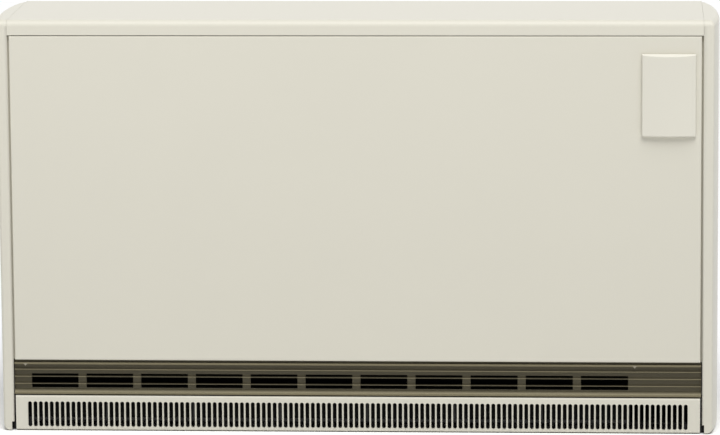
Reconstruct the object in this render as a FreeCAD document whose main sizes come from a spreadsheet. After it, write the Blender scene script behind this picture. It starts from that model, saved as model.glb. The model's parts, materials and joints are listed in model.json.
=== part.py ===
import FreeCAD, Part
import math
import os
import re
import Sketcher

# Fan-assisted storage heater, in millimetres.
# X runs across the front, Y from the room towards the wall, Z up from the floor.
# The origin is on the floor, below the middle of the heater.

SIZES = {
    # Whole heater
    "overall_width": 1120,
    "overall_depth": 250,
    "overall_height": 645,
    "casing_sheet": 1.2,
    "carcass_sheet": 1,
    "floor_gap": 1.5,
    # Side panels
    "cheek_bulge": 25,
    "cheek_strip": 15.5,
    "cheek_edge": 4,
    "ledge_depth": 8,
    "ledge_width": 9,
    "rear_lip": 12,
    "notch_width": 3.5,
    "notch_height": 13,
    # Top cover and front panel
    "top_bend": 10,
    "lip_height": 23.3,
    "lip_return": 8,
    "cover_gap": 0.25,
    "panel_gap": 3,
    "joint_gap": 1.2,
    "panel_bend": 2,
    # Plinth grille
    "grille_depth": 10,
    "grille_gap": 0.8,
    "plinth_height": 54.3,
    "plinth_recess": 1,
    "plinth_bend": 3,
    "slot_margin": 20,
    "slot_pitch": 8.5,
    "slot_width": 6,
    "slot_length": 40,
    "slot_rise": 5.1,
    # Outlet grille
    "louvre_height": 55.3,
    "louvre_recess": 2.5,
    "louvre_plate": 2,
    "louvre_gap": 1.5,
    "rail_rise": 3.2,
    "rail_half": 1.6,
    "rail_slope": 4.6,
    "fin_count": 3,
    "fin_rise": 17.9,
    "fin_pitch": 11.3,
    "fin_half": 0.4,
    "fin_root": 0.4,
    "nose_round": 0.3,
    "crest_rise": 50.2,
    "crest_half": 1.5,
    "opening_pitch": 85.5,
    "opening_width": 73,
    "opening_height": 22.2,
    "opening_rise": 11,
    "opening_margin": 28,
    # Carcass and feet
    "wall_clearance": 2.5,
    "wall_space": 20,
    "bead_count": 3,
    "bead_height": 16,
    "bead_depth": 4,
    "bead_length": 940,
    "tray_flange": 12,
    "foot_height": 14,
    "foot_width": 36,
    "foot_length": 40,
    "foot_inset": 10,
    "foot_reach": 6,
    "foot_chamfer": 2,
    "foot_corner": 6,
    # Wall brackets and cable gland
    "bracket_spacing": 700,
    "bracket_width": 60,
    "bracket_sheet": 2,
    "bracket_leg": 30,
    "bracket_rise": 43.4,
    "bracket_hole": 4.5,
    "screw_hole": 2.2,
    "screw_head": 4.2,
    "screw_crown": 2.2,
    "screw_pitch": 36,
    "gland_bore": 5,
    "gland_barrel": 11,
    "gland_flange": 16,
    "gland_collar": 5,
    "gland_cap_radius": 13.5,
    "gland_cap": 10,
    "gland_cap_bevel": 5,
    "gland_nut": 5,
    "gland_length": 18,
    "gland_height": 60,
    "gland_inset": 52,
    # Storage core
    "bay_width": 103.5,
    "inner_gap": 11,
    "core_level": 112,
    "slab_floor": 38,
    "slab_front": 32,
    "slab_rear": 38,
    "slab_left": 45,
    "slab_right": 56.5,
    "slab_top": 38,
    "air_space": 14,
    "core_headroom": 25.8,
    "brick_joint": 0.4,
    "brick_columns": 4,
    "brick_layers": 3,
    "bend_space": 38,
    "channel_count": 3,
    "channel_width": 40,
    "channel_depth": 14,
    # Heating elements
    "element_radius": 4.25,
    "element_groove": 4.65,
    "element_spread": 33,
    "bush_radius": 7,
    "bush_flange": 10,
    "bush_length": 7,
    "bush_clear": 0.1,
    "element_tail": 24,
    "pin_radius": 2,
    "pin_length": 16,
    # Fan
    "fan_height": 60,
    "impeller_radius": 30,
    "impeller_ring": 8,
    "impeller_disc": 1.5,
    "disc_count": 4,
    "fan_overhang": 15,
    "blade_count": 24,
    "blade_sheet": 0.8,
    "blade_lead": 1.6,
    "blade_swing": 5.6,
    "plate_space": 6,
    "scroll_gap": 4,
    "tongue_gap": 3,
    "tongue_lip": 6,
    "shaft_radius": 4,
    "running_gap": 0.05,
    "bearing_radius": 8,
    "bearing_length": 8,
    "bearing_flange": 2,
    "motor_length": 30,
    "motor_space": 110,
    "stator_width": 60,
    "stator_height": 58,
    "stator_crown": 22.4,
    "stator_limb": 9.1,
    "rotor_radius": 14,
    "rotor_gap": 0.5,
    "coil_overhang": 11,
    "coil_bend": 5,
    "coil_clear": 3,
    # Outlet duct and damper
    "duct_depth": 66,
    "damper_inset": 54,
    "damper_radius": 3,
    "damper_drop": 4,
    "damper_blade": 28,
    "damper_bush": 8,
    "damper_tail": 12,
    "shaft_clear": 0.5,
    "actuator_radius": 16,
    "actuator_length": 24,
    "actuator_foot": 24,
    # Electrical bay
    "terminal_ways": 5,
    "terminal_pitch": 13,
    "terminal_height": 36,
    "terminal_depth": 26,
    "terminal_rise": 125,
    "terminal_well": 4,
    "well_depth": 13,
    "controller_width": 62,
    "controller_height": 90,
    "controller_depth": 30,
    "controller_rise": 230,
    "controller_fins": 7,
    "controller_fin": 8,
    "sensor_reach": 102.5,
    "sensor_tail": 10,
    "sensor_boss": 7,
    "limiter_shift": 30,
    "limiter_radius": 12,
    "limiter_depth": 8,
    "limiter_ear": 20,
    "limiter_tab": 8,
    # Filter
    "filter_frame": 4,
    "filter_height": 36,
    "filter_bars": 6,
    # Controls
    "flap_width": 83,
    "flap_height": 127.2,
    "flap_side": 11.5,
    "flap_drop": 26.9,
    "flap_bulge": 8.5,
    "flap_depth": 6,
    "flap_bevel": 1.6,
    "flap_wall": 1.6,
    "flap_edge": 2,
    "flap_corner": 2.5,
    "flap_head": 6,
    "flap_overlap": 2,
    "flap_clear": 0.4,
    "hinge_radius": 1.8,
    "hinge_pin": 1,
    "hinge_ear": 3,
    "ear_clear": 0.3,
    "ear_inset": 0.1,
    "recess_depth": 34,
    "recess_wall": 2,
    "recess_flange": 5,
    "window_gap": 0.5,
    "knob_radius": 19,
    "knob_height": 20,
    "knob_float": 1,
    "knob_skirt": 3.4,
    "knob_edge": 1,
    "knob_drop": 38.7,
    "flute_count": 24,
    "flute_radius": 1,
    "pointer_start": 6.3,
    "pointer_end": 14.2,
    "pointer_width": 1,
    "pointer_depth": 1,
    "spindle_radius": 3,
    "spindle_clear": 0.2,
    "spindle_grip": 12,
    "spindle_tail": 10,
    "thermostat_size": 44,
    "thermostat_depth": 22,
    "rocker_width": 16.4,
    "rocker_half": 11.5,
    "rocker_proud": 6.5,
    "rocker_root": 4,
    "rocker_corner": 1.5,
    "rocker_dip": 3,
    "rocker_pin": 1.5,
    "rocker_pin_reach": 1.8,
    "rocker_gap": 0.4,
    "rocker_swing": 1.5,
    "rocker_tilt": 8,
    "switch_wall": 2,
    "switch_depth": 24,
    "cavity_depth": 16,
    "switch_rise": 30,
    "switch_shift": 14,
    "lamp_shift": 20,
    "lamp_radius": 5,
    "lamp_rim": 1,
    "lamp_stem": 4,
    "lamp_dome": 4,
    "lamp_shoulder": 3.5,
    "lamp_shoulder_height": 3,
}

doc = FreeCAD.newDocument("storage_heater")
sheet = doc.addObject("Spreadsheet::Sheet", "dims")
for row, (alias, number) in enumerate(SIZES.items(), 1):
    sheet.set(f"A{row}", alias)
    sheet.set(f"B{row}", str(number))
    sheet.setAlias(f"B{row}", alias)
doc.recompute()


# Helpers

QUARTER = 90
TOLERANCE = 0.01
VERTICAL = FreeCAD.Vector(0, 0, 1)
TURNS = {
    "x": FreeCAD.Rotation(FreeCAD.Vector(0, 1, 0), QUARTER),
    "y": FreeCAD.Rotation(FreeCAD.Vector(1, 0, 0), -QUARTER),
    "z": FreeCAD.Rotation(),
}


def size(alias):
    """The number that the sheet holds for an alias."""
    return float(getattr(sheet, alias))


def linked(expression):
    """An expression with the sheet's name put before each alias."""
    def named(word):
        return f"dims.{word[0]}" if word[0] in SIZES else word[0]

    return re.sub(r"[A-Za-z_]\w*", named, expression)


def bind(item, **sizes):
    """Tie properties of an object to expressions."""
    for name, expression in sizes.items():
        item.setExpression(name, linked(expression))
    return item


def place(item, x="0", y="0", z="0"):
    """Tie an object's position to three expressions."""
    for letter, expression in zip("xyz", (x, y, z)):
        item.setExpression(f".Placement.Base.{letter}", linked(expression))
    return item


def box(name, x, y, z):
    """A block between two places along each axis."""
    block = doc.addObject("Part::Box", name)
    for side, (low, high) in zip(("Length", "Width", "Height"), (x, y, z)):
        block.setExpression(side, linked(f"({high}) - ({low})"))
    return place(block, x[0], y[0], z[0])


def rod(name, axis, radius, span, across):
    """A cylinder along one axis; across gives its centre on the other two."""
    bar = doc.addObject("Part::Cylinder", name)
    bar.Placement = FreeCAD.Placement(FreeCAD.Vector(), TURNS[axis])
    bind(bar, Radius=radius, Height=f"({span[1]}) - ({span[0]})")
    spot = list(across)
    spot.insert("xyz".index(axis), span[0])
    return place(bar, *spot)


def join(kind, name, pieces):
    """A fusion or a compound of several objects."""
    whole = doc.addObject(kind, name)
    if kind == "Part::Compound":
        whole.Links = list(pieces)
    else:
        whole.Shapes = list(pieces)
    return whole


def fuse(name, *pieces):
    return join("Part::MultiFuse", name, pieces)


def group(name, *pieces):
    return join("Part::Compound", name, pieces)


def cut(name, base, *tools):
    """A solid with one or more tools taken away."""
    result = doc.addObject("Part::Cut", name)
    result.Base = base
    result.Tool = tools[0] if len(tools) == 1 else group(f"{name}_tools", *tools)
    return result


def common(name, first, second):
    result = doc.addObject("Part::Common", name)
    result.Base = first
    result.Tool = second
    return result


def mirrored(name, source):
    """The same piece on the other side of the heater."""
    twin = doc.addObject("Part::Mirroring", name)
    twin.Source = source
    twin.Normal = FreeCAD.Vector(1, 0, 0)
    return twin


def copied(name, source, x="0", y="0", z="0"):
    """A further copy of a piece, moved by three expressions."""
    twin = doc.addObject("App::Link", name)
    twin.LinkedObject = source
    return place(twin, x, y, z)


def rounded(name, base, choices):
    """Round edges: choices pairs a test on an edge's box and the whole box with a radius."""
    doc.recompute()
    whole = base.Shape.BoundBox
    edges = []
    for number, edge in enumerate(base.Shape.Edges, 1):
        for test, radius in choices:
            if test(edge.BoundBox, whole):
                edges.append((number, radius, radius))
                break
    result = doc.addObject("Part::Fillet", name)
    result.Base = base
    result.Edges = edges
    return result


def near(first, second):
    return abs(first - second) < TOLERANCE


def body(name):
    return doc.addObject("PartDesign::Body", name)


def plane_of(owner, role):
    return next(item for item in owner.Origin.OriginFeatures if item.Role == role)


def sketch_on(owner, name, role, offset="0"):
    """An empty sketch on one of a body's own planes, moved along its normal."""
    sketch = owner.newObject("Sketcher::SketchObject", name)
    sketch.AttachmentSupport = [(plane_of(owner, role), "")]
    sketch.MapMode = "FlatFace"
    sketch.setExpression("AttachmentOffset.Base.z", linked(offset))
    return sketch


def outline(owner, name, role, points, offset="0"):
    """A closed outline whose corners are pairs of expressions."""
    sketch = sketch_on(owner, name, role, offset)
    count = len(points)
    turn = 2 * math.pi / count
    ring = [FreeCAD.Vector(math.cos(turn * i), math.sin(turn * i), 0) for i in range(count)]
    for start, end in zip(ring, ring[1:] + ring[:1]):
        sketch.addGeometry(Part.LineSegment(start, end), False)
    for i in range(count):
        sketch.addConstraint(Sketcher.Constraint("Coincident", i, 2, (i + 1) % count, 1))
    for i, (across, up) in enumerate(points):
        for kind, first, expression in (("DistanceX", ring[i].x, across), ("DistanceY", ring[i].y, up)):
            number = sketch.addConstraint(Sketcher.Constraint(kind, -1, 1, i, 1, first))
            sketch.setExpression(f"Constraints[{number}]", linked(expression))
    return sketch


def feature(owner, kind, name, profile, **sizes):
    """A pad or pocket of a profile, with its length tied to an expression."""
    step = owner.newObject(f"PartDesign::{kind}", name)
    step.Profile = profile
    return bind(step, **sizes)


def soften(owner, kind, name, test, **sizes):
    """Round or chamfer the edges of a body's last feature that a test accepts."""
    doc.recompute()
    base = owner.Tip
    whole = base.Shape.BoundBox
    names = [f"Edge{i}" for i, edge in enumerate(base.Shape.Edges, 1) if test(edge.BoundBox, whole)]
    step = owner.newObject(f"PartDesign::{kind}", name)
    step.Base = (base, names)
    return bind(step, **sizes)


def row_of(owner, name, original, sketch, axis, **sizes):
    """Repeat a feature along one axis of a sketch."""
    pattern = owner.newObject("PartDesign::LinearPattern", name)
    pattern.Originals = [original]
    pattern.Direction = (sketch, [axis])
    pattern.Mode = "Spacing"
    bind(pattern, **sizes)
    owner.Tip = pattern
    return pattern


def ring_of(owner, name, original, sketch, count):
    """Repeat a feature round the normal of a sketch."""
    pattern = owner.newObject("PartDesign::PolarPattern", name)
    pattern.Originals = [original]
    pattern.Axis = (sketch, ["N_Axis"])
    pattern.Angle = 360
    bind(pattern, Occurrences=count)
    owner.Tip = pattern
    return pattern


def circles(owner, name, role, radii, spots, offset="0"):
    """A sketch of circles: at each spot one circle for each radius."""
    sketch = sketch_on(owner, name, role, offset)
    number = 0
    for across, up in spots:
        for radius in radii:
            sketch.addGeometry(Part.Circle(FreeCAD.Vector(), VERTICAL, number + 1), False)
            for kind, expression in (("DistanceX", across), ("DistanceY", up)):
                index = sketch.addConstraint(Sketcher.Constraint(kind, -1, 1, number, 3, 1.0))
                sketch.setExpression(f"Constraints[{index}]", linked(expression))
            index = sketch.addConstraint(Sketcher.Constraint("Radius", number, number + 1.0))
            sketch.setExpression(f"Constraints[{index}]", linked(radius))
            number += 1
    return sketch


def upright_slot(owner, name, x, z):
    """A sketch of one upright slot of the plinth with round ends, centred at x and z."""
    sketch = sketch_on(owner, name, "XZ_Plane")
    for letter, expression in (("x", x), ("y", z)):
        sketch.setExpression(f"AttachmentOffset.Base.{letter}", linked(expression))
    radius = size("slot_width") / 2
    rise = FreeCAD.Vector(0, size("slot_length") / 2 - radius, 0)
    side = FreeCAD.Vector(radius, 0, 0)
    sketch.addGeometry(Part.ArcOfCircle(Part.Circle(rise, VERTICAL, radius), 0, math.pi), False)
    sketch.addGeometry(Part.LineSegment(rise - side, -rise - side), False)
    sketch.addGeometry(Part.ArcOfCircle(Part.Circle(-rise, VERTICAL, radius), math.pi, 2 * math.pi), False)
    sketch.addGeometry(Part.LineSegment(side - rise, side + rise), False)
    for i in range(4):
        sketch.addConstraint(Sketcher.Constraint("Tangent", i, 2, (i + 1) % 4, 1))
    half = "(slot_length - slot_width) / 2"
    for arc, expression in ((0, half), (2, f"-{half}")):
        sketch.addConstraint(Sketcher.Constraint("PointOnObject", arc, 3, -2))
        index = sketch.addConstraint(Sketcher.Constraint("DistanceY", -1, 1, arc, 3, (1 - arc) * rise.y))
        sketch.setExpression(f"Constraints[{index}]", linked(expression))
    sketch.addConstraint(Sketcher.Constraint("Equal", 0, 2))
    index = sketch.addConstraint(Sketcher.Constraint("Radius", 0, radius))
    sketch.setExpression(f"Constraints[{index}]", linked("slot_width / 2"))
    return sketch


def turned(owner, name, points):
    """A solid of revolution about a body's own Y axis; points are pairs of radius and Y."""
    profile = outline(owner, f"{name}_profile", "XY_Plane", points)
    step = owner.newObject("PartDesign::Revolution", name)
    step.Profile = profile
    step.ReferenceAxis = (profile, ["V_Axis"])
    step.Angle = 360
    return step


# Places that several pieces share

FRONT = "(flap_bulge - overall_depth / 2)"
REAR = "(overall_depth / 2)"
SEAM = "(overall_width / 2 - cheek_bulge)"
TOP = "overall_height"
UNDER_TOP = "(overall_height - casing_sheet)"
LIP = "(overall_height - lip_height)"
LEDGE = f"({FRONT} + ledge_depth)"
SEAT = f"({FRONT} + grille_depth)"
PLINTH_HIGH = "(floor_gap + plinth_height)"
LOUVRE_LOW = f"({PLINTH_HIGH} + grille_gap)"
LOUVRE_HIGH = f"({LOUVRE_LOW} + louvre_height)"
PANEL_LOW = f"({LOUVRE_HIGH} + grille_gap)"
PANEL_HIGH = f"({LIP} - joint_gap)"
PANEL_SIDE = f"({SEAM} - panel_gap)"
WALL_OUT = f"({SEAM} - wall_clearance)"
WALL_IN = f"({WALL_OUT} - carcass_sheet)"
BAY = f"({WALL_IN} - bay_width)"
WALL_FACE = f"({LEDGE} + casing_sheet)"
BACK_OUT = f"({REAR} - wall_space)"
BACK_IN = f"({BACK_OUT} - carcass_sheet)"
TRAY = "(foot_height + carcass_sheet)"


# Side panels

def cheek_block(name, inset, low, high):
    """The side panel's plan, a flat front strip and an ellipse back to the wall, drawn in by inset."""
    reach = "((overall_depth - flap_bulge) / (1 + sqrt(1 - (cheek_strip / cheek_bulge)^2)))"
    oval = doc.addObject("Part::Ellipse", f"{name}_oval")
    oval.Placement = FreeCAD.Placement(FreeCAD.Vector(), FreeCAD.Rotation(VERTICAL, QUARTER))
    bind(oval, MajorRadius=f"{reach} - {inset}", MinorRadius=f"cheek_bulge - {inset}")
    place(oval, SEAM, f"{REAR} - {reach}", low)
    column = doc.addObject("Part::Extrusion", f"{name}_column")
    column.Base = oval
    column.DirMode = "Custom"
    column.Dir = VERTICAL
    column.Solid = True
    bind(column, LengthFwd=f"{high} - {low}")
    beyond = f"{SEAM} + overall_depth"
    room = box(f"{name}_room", (SEAM, beyond), (f"{FRONT} + {inset}", beyond), (low, high))
    return common(name, column, room)


def cheek_rounded(name, base, inset):
    """The same with its top edges and its upright front edge rounded."""
    def outer(edge, whole):
        return not near(edge.XMax, whole.XMin)

    def crown(edge, whole):
        return near(edge.ZMin, whole.ZMax) and outer(edge, whole)

    def upright(edge, whole):
        return edge.ZLength > whole.ZLength / 2 and outer(edge, whole)

    return rounded(name, base, [(crown, size("top_bend") - inset), (upright, size("cheek_edge") - inset)])


def side_panel(name):
    """One pressed side panel: a hollow cheek with a ledge for the front panel and a lip at the wall."""
    outside = cheek_rounded("cheek_outside", cheek_block("cheek_outer", "0", "floor_gap", TOP), 0)
    hollow = cheek_block("cheek_inner", "casing_sheet", "(floor_gap - casing_sheet)", UNDER_TOP)
    inside = cheek_rounded("cheek_inside", hollow, size("casing_sheet"))
    edge = box("cheek_edge_block", (SEAM, f"{SEAM} + casing_sheet"), (FRONT, WALL_FACE), ("floor_gap", TOP))
    ledge_x = (f"{SEAM} - ledge_width", f"{SEAM} + casing_sheet")
    lip_x = (f"{SEAM} - rear_lip", SEAM)
    lip_z = ("floor_gap + notch_height", PANEL_HIGH)
    pressed = fuse(
        "cheek_pressed",
        cut("cheek_shell", outside, inside),
        common("cheek_return", edge, outside),
        box("cheek_ledge", ledge_x, (LEDGE, WALL_FACE), (PANEL_LOW, PANEL_HIGH)),
        box("cheek_lip", lip_x, (f"{REAR} - casing_sheet", REAR), lip_z),
    )
    notch = box(
        "cheek_notch",
        (f"{SEAM} - casing_sheet", f"{SEAM} + notch_width"),
        (f"{FRONT} - casing_sheet", f"{WALL_FACE} + casing_sheet"),
        ("0", "floor_gap + notch_height"),
    )
    return cut(name, pressed, notch)


right_side_panel = side_panel("right_side_panel")
left_side_panel = mirrored("left_side_panel", right_side_panel)


# Top cover and front panel

def front_crown(edge, whole):
    return near(edge.YMax, whole.YMin) and near(edge.ZMin, whole.ZMax)


def front_face(edge, whole):
    return near(edge.YMax, whole.YMin)


def top_cover():
    """Sheet with one large bend along the front, a front lip with a turned edge and a rear lip."""
    side = f"({SEAM} - cover_gap)"
    outer = box("cover_outer", (f"-{side}", side), (FRONT, REAR), (LIP, TOP))
    inner_y = (f"{FRONT} + casing_sheet", f"{REAR} - casing_sheet")
    inner = box("cover_inner", (f"-{SEAM}", SEAM), inner_y, (f"{LIP} - casing_sheet", UNDER_TOP))
    outside = rounded("cover_outside", outer, [(front_crown, size("top_bend"))])
    inside = rounded("cover_inside", inner, [(front_crown, size("top_bend") - size("casing_sheet"))])
    turn_y = (f"{FRONT} + casing_sheet / 2", f"{FRONT} + casing_sheet + lip_return")
    turn = box("cover_return", (f"-{side}", side), turn_y, (LIP, f"{LIP} + casing_sheet"))
    return fuse("top_cover", cut("cover_sheet", outside, inside), turn)


top_cover = top_cover()

FLAP_RIGHT = f"({SEAM} - flap_side)"
FLAP_LEFT = f"({FLAP_RIGHT} - flap_width)"
FLAP_MID = f"({FLAP_RIGHT} - flap_width / 2)"
FLAP_HIGH = f"({PANEL_HIGH} - flap_drop)"
FLAP_LOW = f"({FLAP_HIGH} - flap_height)"
RECESS_X = (f"({FLAP_LEFT} + flap_overlap)", f"({FLAP_RIGHT} - flap_overlap)")
RECESS_Z = (f"({FLAP_LOW} + flap_overlap)", f"({FLAP_HIGH} - flap_overlap)")


def grown(span, by):
    """A span made longer at both ends."""
    return (f"({span[0]} - ({by}))", f"({span[1]} + ({by}))")


def front_panel():
    """Shallow tray of sheet with rounded edges and the window for the controls."""
    x = (f"-{PANEL_SIDE}", PANEL_SIDE)
    z = (PANEL_LOW, PANEL_HIGH)
    outer = box("panel_outer", x, (FRONT, LEDGE), z)
    outside = rounded("panel_outside", outer, [(front_face, size("panel_bend"))])
    inner_y = (f"{FRONT} + casing_sheet", f"{LEDGE} + casing_sheet")
    inner = box("panel_inner", grown(x, "-casing_sheet"), inner_y, grown(z, "-casing_sheet"))
    window_y = (f"{FRONT} - casing_sheet", f"{FRONT} + casing_sheet")
    window = box("panel_window", grown(RECESS_X, "window_gap"), window_y, grown(RECESS_Z, "window_gap"))
    return cut("front_panel", cut("panel_tray", outside, inner), window)


front_panel = front_panel()


# Plinth grille

def plinth_grille():
    """Bent channel with a row of upright slots."""
    piece = body("plinth_grille")
    face = f"({FRONT} + plinth_recess)"
    back = f"({face} + casing_sheet)"
    low, high = "floor_gap", PLINTH_HIGH
    points = [
        (SEAT, low),
        (face, low),
        (face, high),
        (SEAT, high),
        (SEAT, f"{high} - casing_sheet"),
        (back, f"{high} - casing_sheet"),
        (back, f"{low} + casing_sheet"),
        (SEAT, f"{low} + casing_sheet"),
    ]
    section = outline(piece, "plinth_section", "YZ_Plane", points)
    channel = feature(piece, "Pad", "plinth_channel", section, Length=f"2 * {PANEL_SIDE}")
    channel.Midplane = True

    def long_at(edge, whole, offset):
        return edge.XLength > whole.XLength / 2 and near(edge.YMin, whole.YMin + offset)

    def outer(edge, whole):
        return long_at(edge, whole, 0)

    def inner(edge, whole):
        return long_at(edge, whole, size("casing_sheet"))

    soften(piece, "Fillet", "plinth_outer_bends", outer, Radius="plinth_bend")
    soften(piece, "Fillet", "plinth_inner_bends", inner, Radius="plinth_bend - casing_sheet")
    slots = f"(floor(2 * ({PANEL_SIDE} - slot_margin) / slot_pitch) + 1)"
    first = f"(1 - {slots}) * slot_pitch / 2"
    middle = "floor_gap + slot_rise + slot_length / 2"
    slot = upright_slot(piece, "plinth_slot_outline", first, middle)
    hole = feature(piece, "Pocket", "plinth_slot", slot)
    hole.Type = "ThroughAll"
    hole.Midplane = True
    row_of(piece, "plinth_slots", hole, slot, "H_Axis", Occurrences=slots, Offset="slot_pitch")
    return piece


plinth_grille = plinth_grille()


# Outlet grille

def outlet_grille():
    """Dark moulding: a plate with openings and, in front of it, fins that run the whole width."""
    piece = body("outlet_grille")
    tip = f"({FRONT} + louvre_recess)"
    face = f"({SEAT} - louvre_plate)"
    ribs = [("rail_rise", "rail_half", "rail_slope")]
    for i in range(int(size("fin_count"))):
        ribs.append((f"fin_rise + {i} * fin_pitch", "fin_half", "fin_root"))
    ribs.append(("crest_rise", "crest_half", "fin_root"))
    points = [(SEAT, LOUVRE_HIGH), (SEAT, LOUVRE_LOW), (face, LOUVRE_LOW)]
    for rise, half, slope in ribs:
        middle = f"{LOUVRE_LOW} + {rise}"
        points += [
            (face, f"{middle} - {half} - fin_root"),
            (tip, f"{middle} - {half}"),
            (tip, f"{middle} + {half}"),
            (face, f"{middle} + {half} + {slope}"),
        ]
    points.append((face, LOUVRE_HIGH))
    section = outline(piece, "louvre_section", "YZ_Plane", points)
    bar = feature(piece, "Pad", "louvre_bar", section, Length=f"2 * ({SEAM} - louvre_gap)")
    bar.Midplane = True

    def nose(edge, whole):
        return edge.XLength > whole.XLength / 2 and near(edge.YMin, whole.YMin)

    soften(piece, "Fillet", "louvre_noses", nose, Radius="nose_round")
    left = f"opening_margin - {SEAM}"
    low = f"{LOUVRE_LOW} + opening_rise"
    right, high = f"{left} + opening_width", f"{low} + opening_height"
    corners = [(left, low), (right, low), (right, high), (left, high)]
    window = outline(piece, "louvre_window", "XZ_Plane", corners, offset=f"-{SEAT}")
    opening = feature(piece, "Pocket", "louvre_opening", window, Length="louvre_plate")
    opening.Reversed = True
    row = f"{SEAM} - opening_margin + {BAY} - opening_width"
    places = {"Occurrences": f"floor(({row}) / opening_pitch) + 1", "Offset": "opening_pitch"}
    row_of(piece, "louvre_openings", opening, window, "H_Axis", **places)
    return piece


outlet_grille = outlet_grille()


# Carcass

def carcass_wall():
    """Upright sheet behind a side panel, turned in along the front under the side panel's ledge."""
    piece = body("right_carcass_wall")
    rear = f"({REAR} - casing_sheet)"
    points = [
        (SEAT, "foot_height"),
        (rear, "foot_height"),
        (rear, UNDER_TOP),
        (SEAT, UNDER_TOP),
        (SEAT, PANEL_HIGH),
        (WALL_FACE, PANEL_HIGH),
        (WALL_FACE, PANEL_LOW),
        (SEAT, PANEL_LOW),
    ]
    plate = outline(piece, "wall_outline", "YZ_Plane", points, offset=WALL_IN)
    feature(piece, "Pad", "wall_plate", plate, Length="carcass_sheet")
    inner, turn = f"{SEAM} - ledge_width", f"{WALL_FACE} + carcass_sheet"
    corners = [(inner, WALL_FACE), (WALL_IN, WALL_FACE), (WALL_IN, turn), (inner, turn)]
    strip = outline(piece, "wall_turn_outline", "XY_Plane", corners, offset=PANEL_LOW)
    feature(piece, "Pad", "wall_turn", strip, Length=f"{PANEL_HIGH} - {PANEL_LOW}")
    return piece


right_carcass_wall = carcass_wall()
left_carcass_wall = mirrored("left_carcass_wall", right_carcass_wall)

CARCASS_X = (f"-{WALL_IN}", WALL_IN)
BEAD_PITCH = f"(({UNDER_TOP} - {TRAY}) / (bead_count + 1))"
BRACKET = f"({TRAY} + bead_count * {BEAD_PITCH} + bracket_rise)"
SCREW_HEIGHT = f"({BRACKET} - bracket_leg / 2)"
GLAND_X = f"({WALL_IN} - gland_inset)"


def bracket_places():
    """Middle of the left and of the right wall bracket."""
    return ["(-bracket_spacing / 2)", "(bracket_spacing / 2)"]


def screw_places():
    """Both screws of each wall bracket."""
    return [f"({middle} {side} screw_pitch / 2)" for middle in bracket_places() for side in "-+"]


def rear_wall():
    """Sheet with three pressed beads, holes for the bracket screws and the cable entry."""
    pressed = [box("rear_sheet", CARCASS_X, (BACK_IN, BACK_OUT), (TRAY, UNDER_TOP))]
    hollows = []
    x = ("-bead_length / 2", "bead_length / 2")
    inner_x = grown(x, "-carcass_sheet")
    inner_y = (f"{BACK_IN} - carcass_sheet", f"{BACK_IN} + bead_depth")

    def crest(edge, whole):
        return near(edge.YMin, whole.YMax)

    for i in range(int(size("bead_count"))):
        middle = f"({TRAY} + {i + 1} * {BEAD_PITCH})"
        z = (f"{middle} - bead_height / 2", f"{middle} + bead_height / 2")
        bead = box(f"bead_{i}", x, (BACK_IN, f"{BACK_OUT} + bead_depth"), z)
        pressed.append(rounded(f"bead_round_{i}", bead, [(crest, size("bead_depth") / 2)]))
        hollows.append(box(f"bead_hollow_{i}", inner_x, inner_y, grown(z, "-carcass_sheet")))
    through = (f"{BACK_IN} - carcass_sheet", f"{BACK_OUT} + carcass_sheet")
    hollows.append(rod("gland_hole", "y", "gland_barrel + running_gap", through, (GLAND_X, "gland_height")))
    for i, x in enumerate(screw_places()):
        hollows.append(rod(f"rear_screw_hole_{i}", "y", "screw_hole", through, (x, SCREW_HEIGHT)))
    return cut("rear_wall", fuse("rear_pressed", *pressed), *hollows)


rear_wall = rear_wall()


def base_tray():
    """Floor sheet of the carcass, turned up at the sides and at the rear."""
    z = (TRAY, f"{TRAY} + tray_flange")
    y = (f"{SEAT} + carcass_sheet", BACK_OUT)
    inner = f"({WALL_IN} - carcass_sheet)"
    flange_y = (y[0], f"{BACK_IN} - carcass_sheet")
    return fuse(
        "base_tray",
        box("tray_plate", CARCASS_X, y, ("foot_height", TRAY)),
        box("tray_left", (f"-{WALL_IN}", f"-{inner}"), flange_y, z),
        box("tray_right", (inner, WALL_IN), flange_y, z),
        box("tray_rear", CARCASS_X, (f"{BACK_IN} - carcass_sheet", BACK_IN), z),
    )


base_tray = base_tray()


def feet():
    """Four moulded feet with rounded corners and a chamfer on the floor edge."""
    foot = body("foot")
    corners = [("0", "0"), ("foot_width", "0"), ("foot_width", "foot_length"), ("0", "foot_length")]
    plan = outline(foot, "foot_outline", "XY_Plane", corners)
    feature(foot, "Pad", "foot_block", plan, Length="foot_height")

    def upright(edge, whole):
        return near(edge.ZLength, whole.ZLength)

    def lowest(edge, whole):
        return near(edge.ZMax, whole.ZMin)

    soften(foot, "Fillet", "foot_corners", upright, Radius="foot_corner")
    soften(foot, "Chamfer", "foot_edge", lowest, Size="foot_chamfer")
    right = f"{SEAM} + foot_reach - foot_width"
    left = f"-{SEAM} - foot_reach"
    front = f"{FRONT} + foot_inset"
    back = f"{REAR} - foot_inset - foot_length"
    spots = [(x, y) for x in (left, right) for y in (front, back)]
    return group("feet", *[copied(f"foot_{i}", foot, x, y) for i, (x, y) in enumerate(spots)])


feet = feet()


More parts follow.
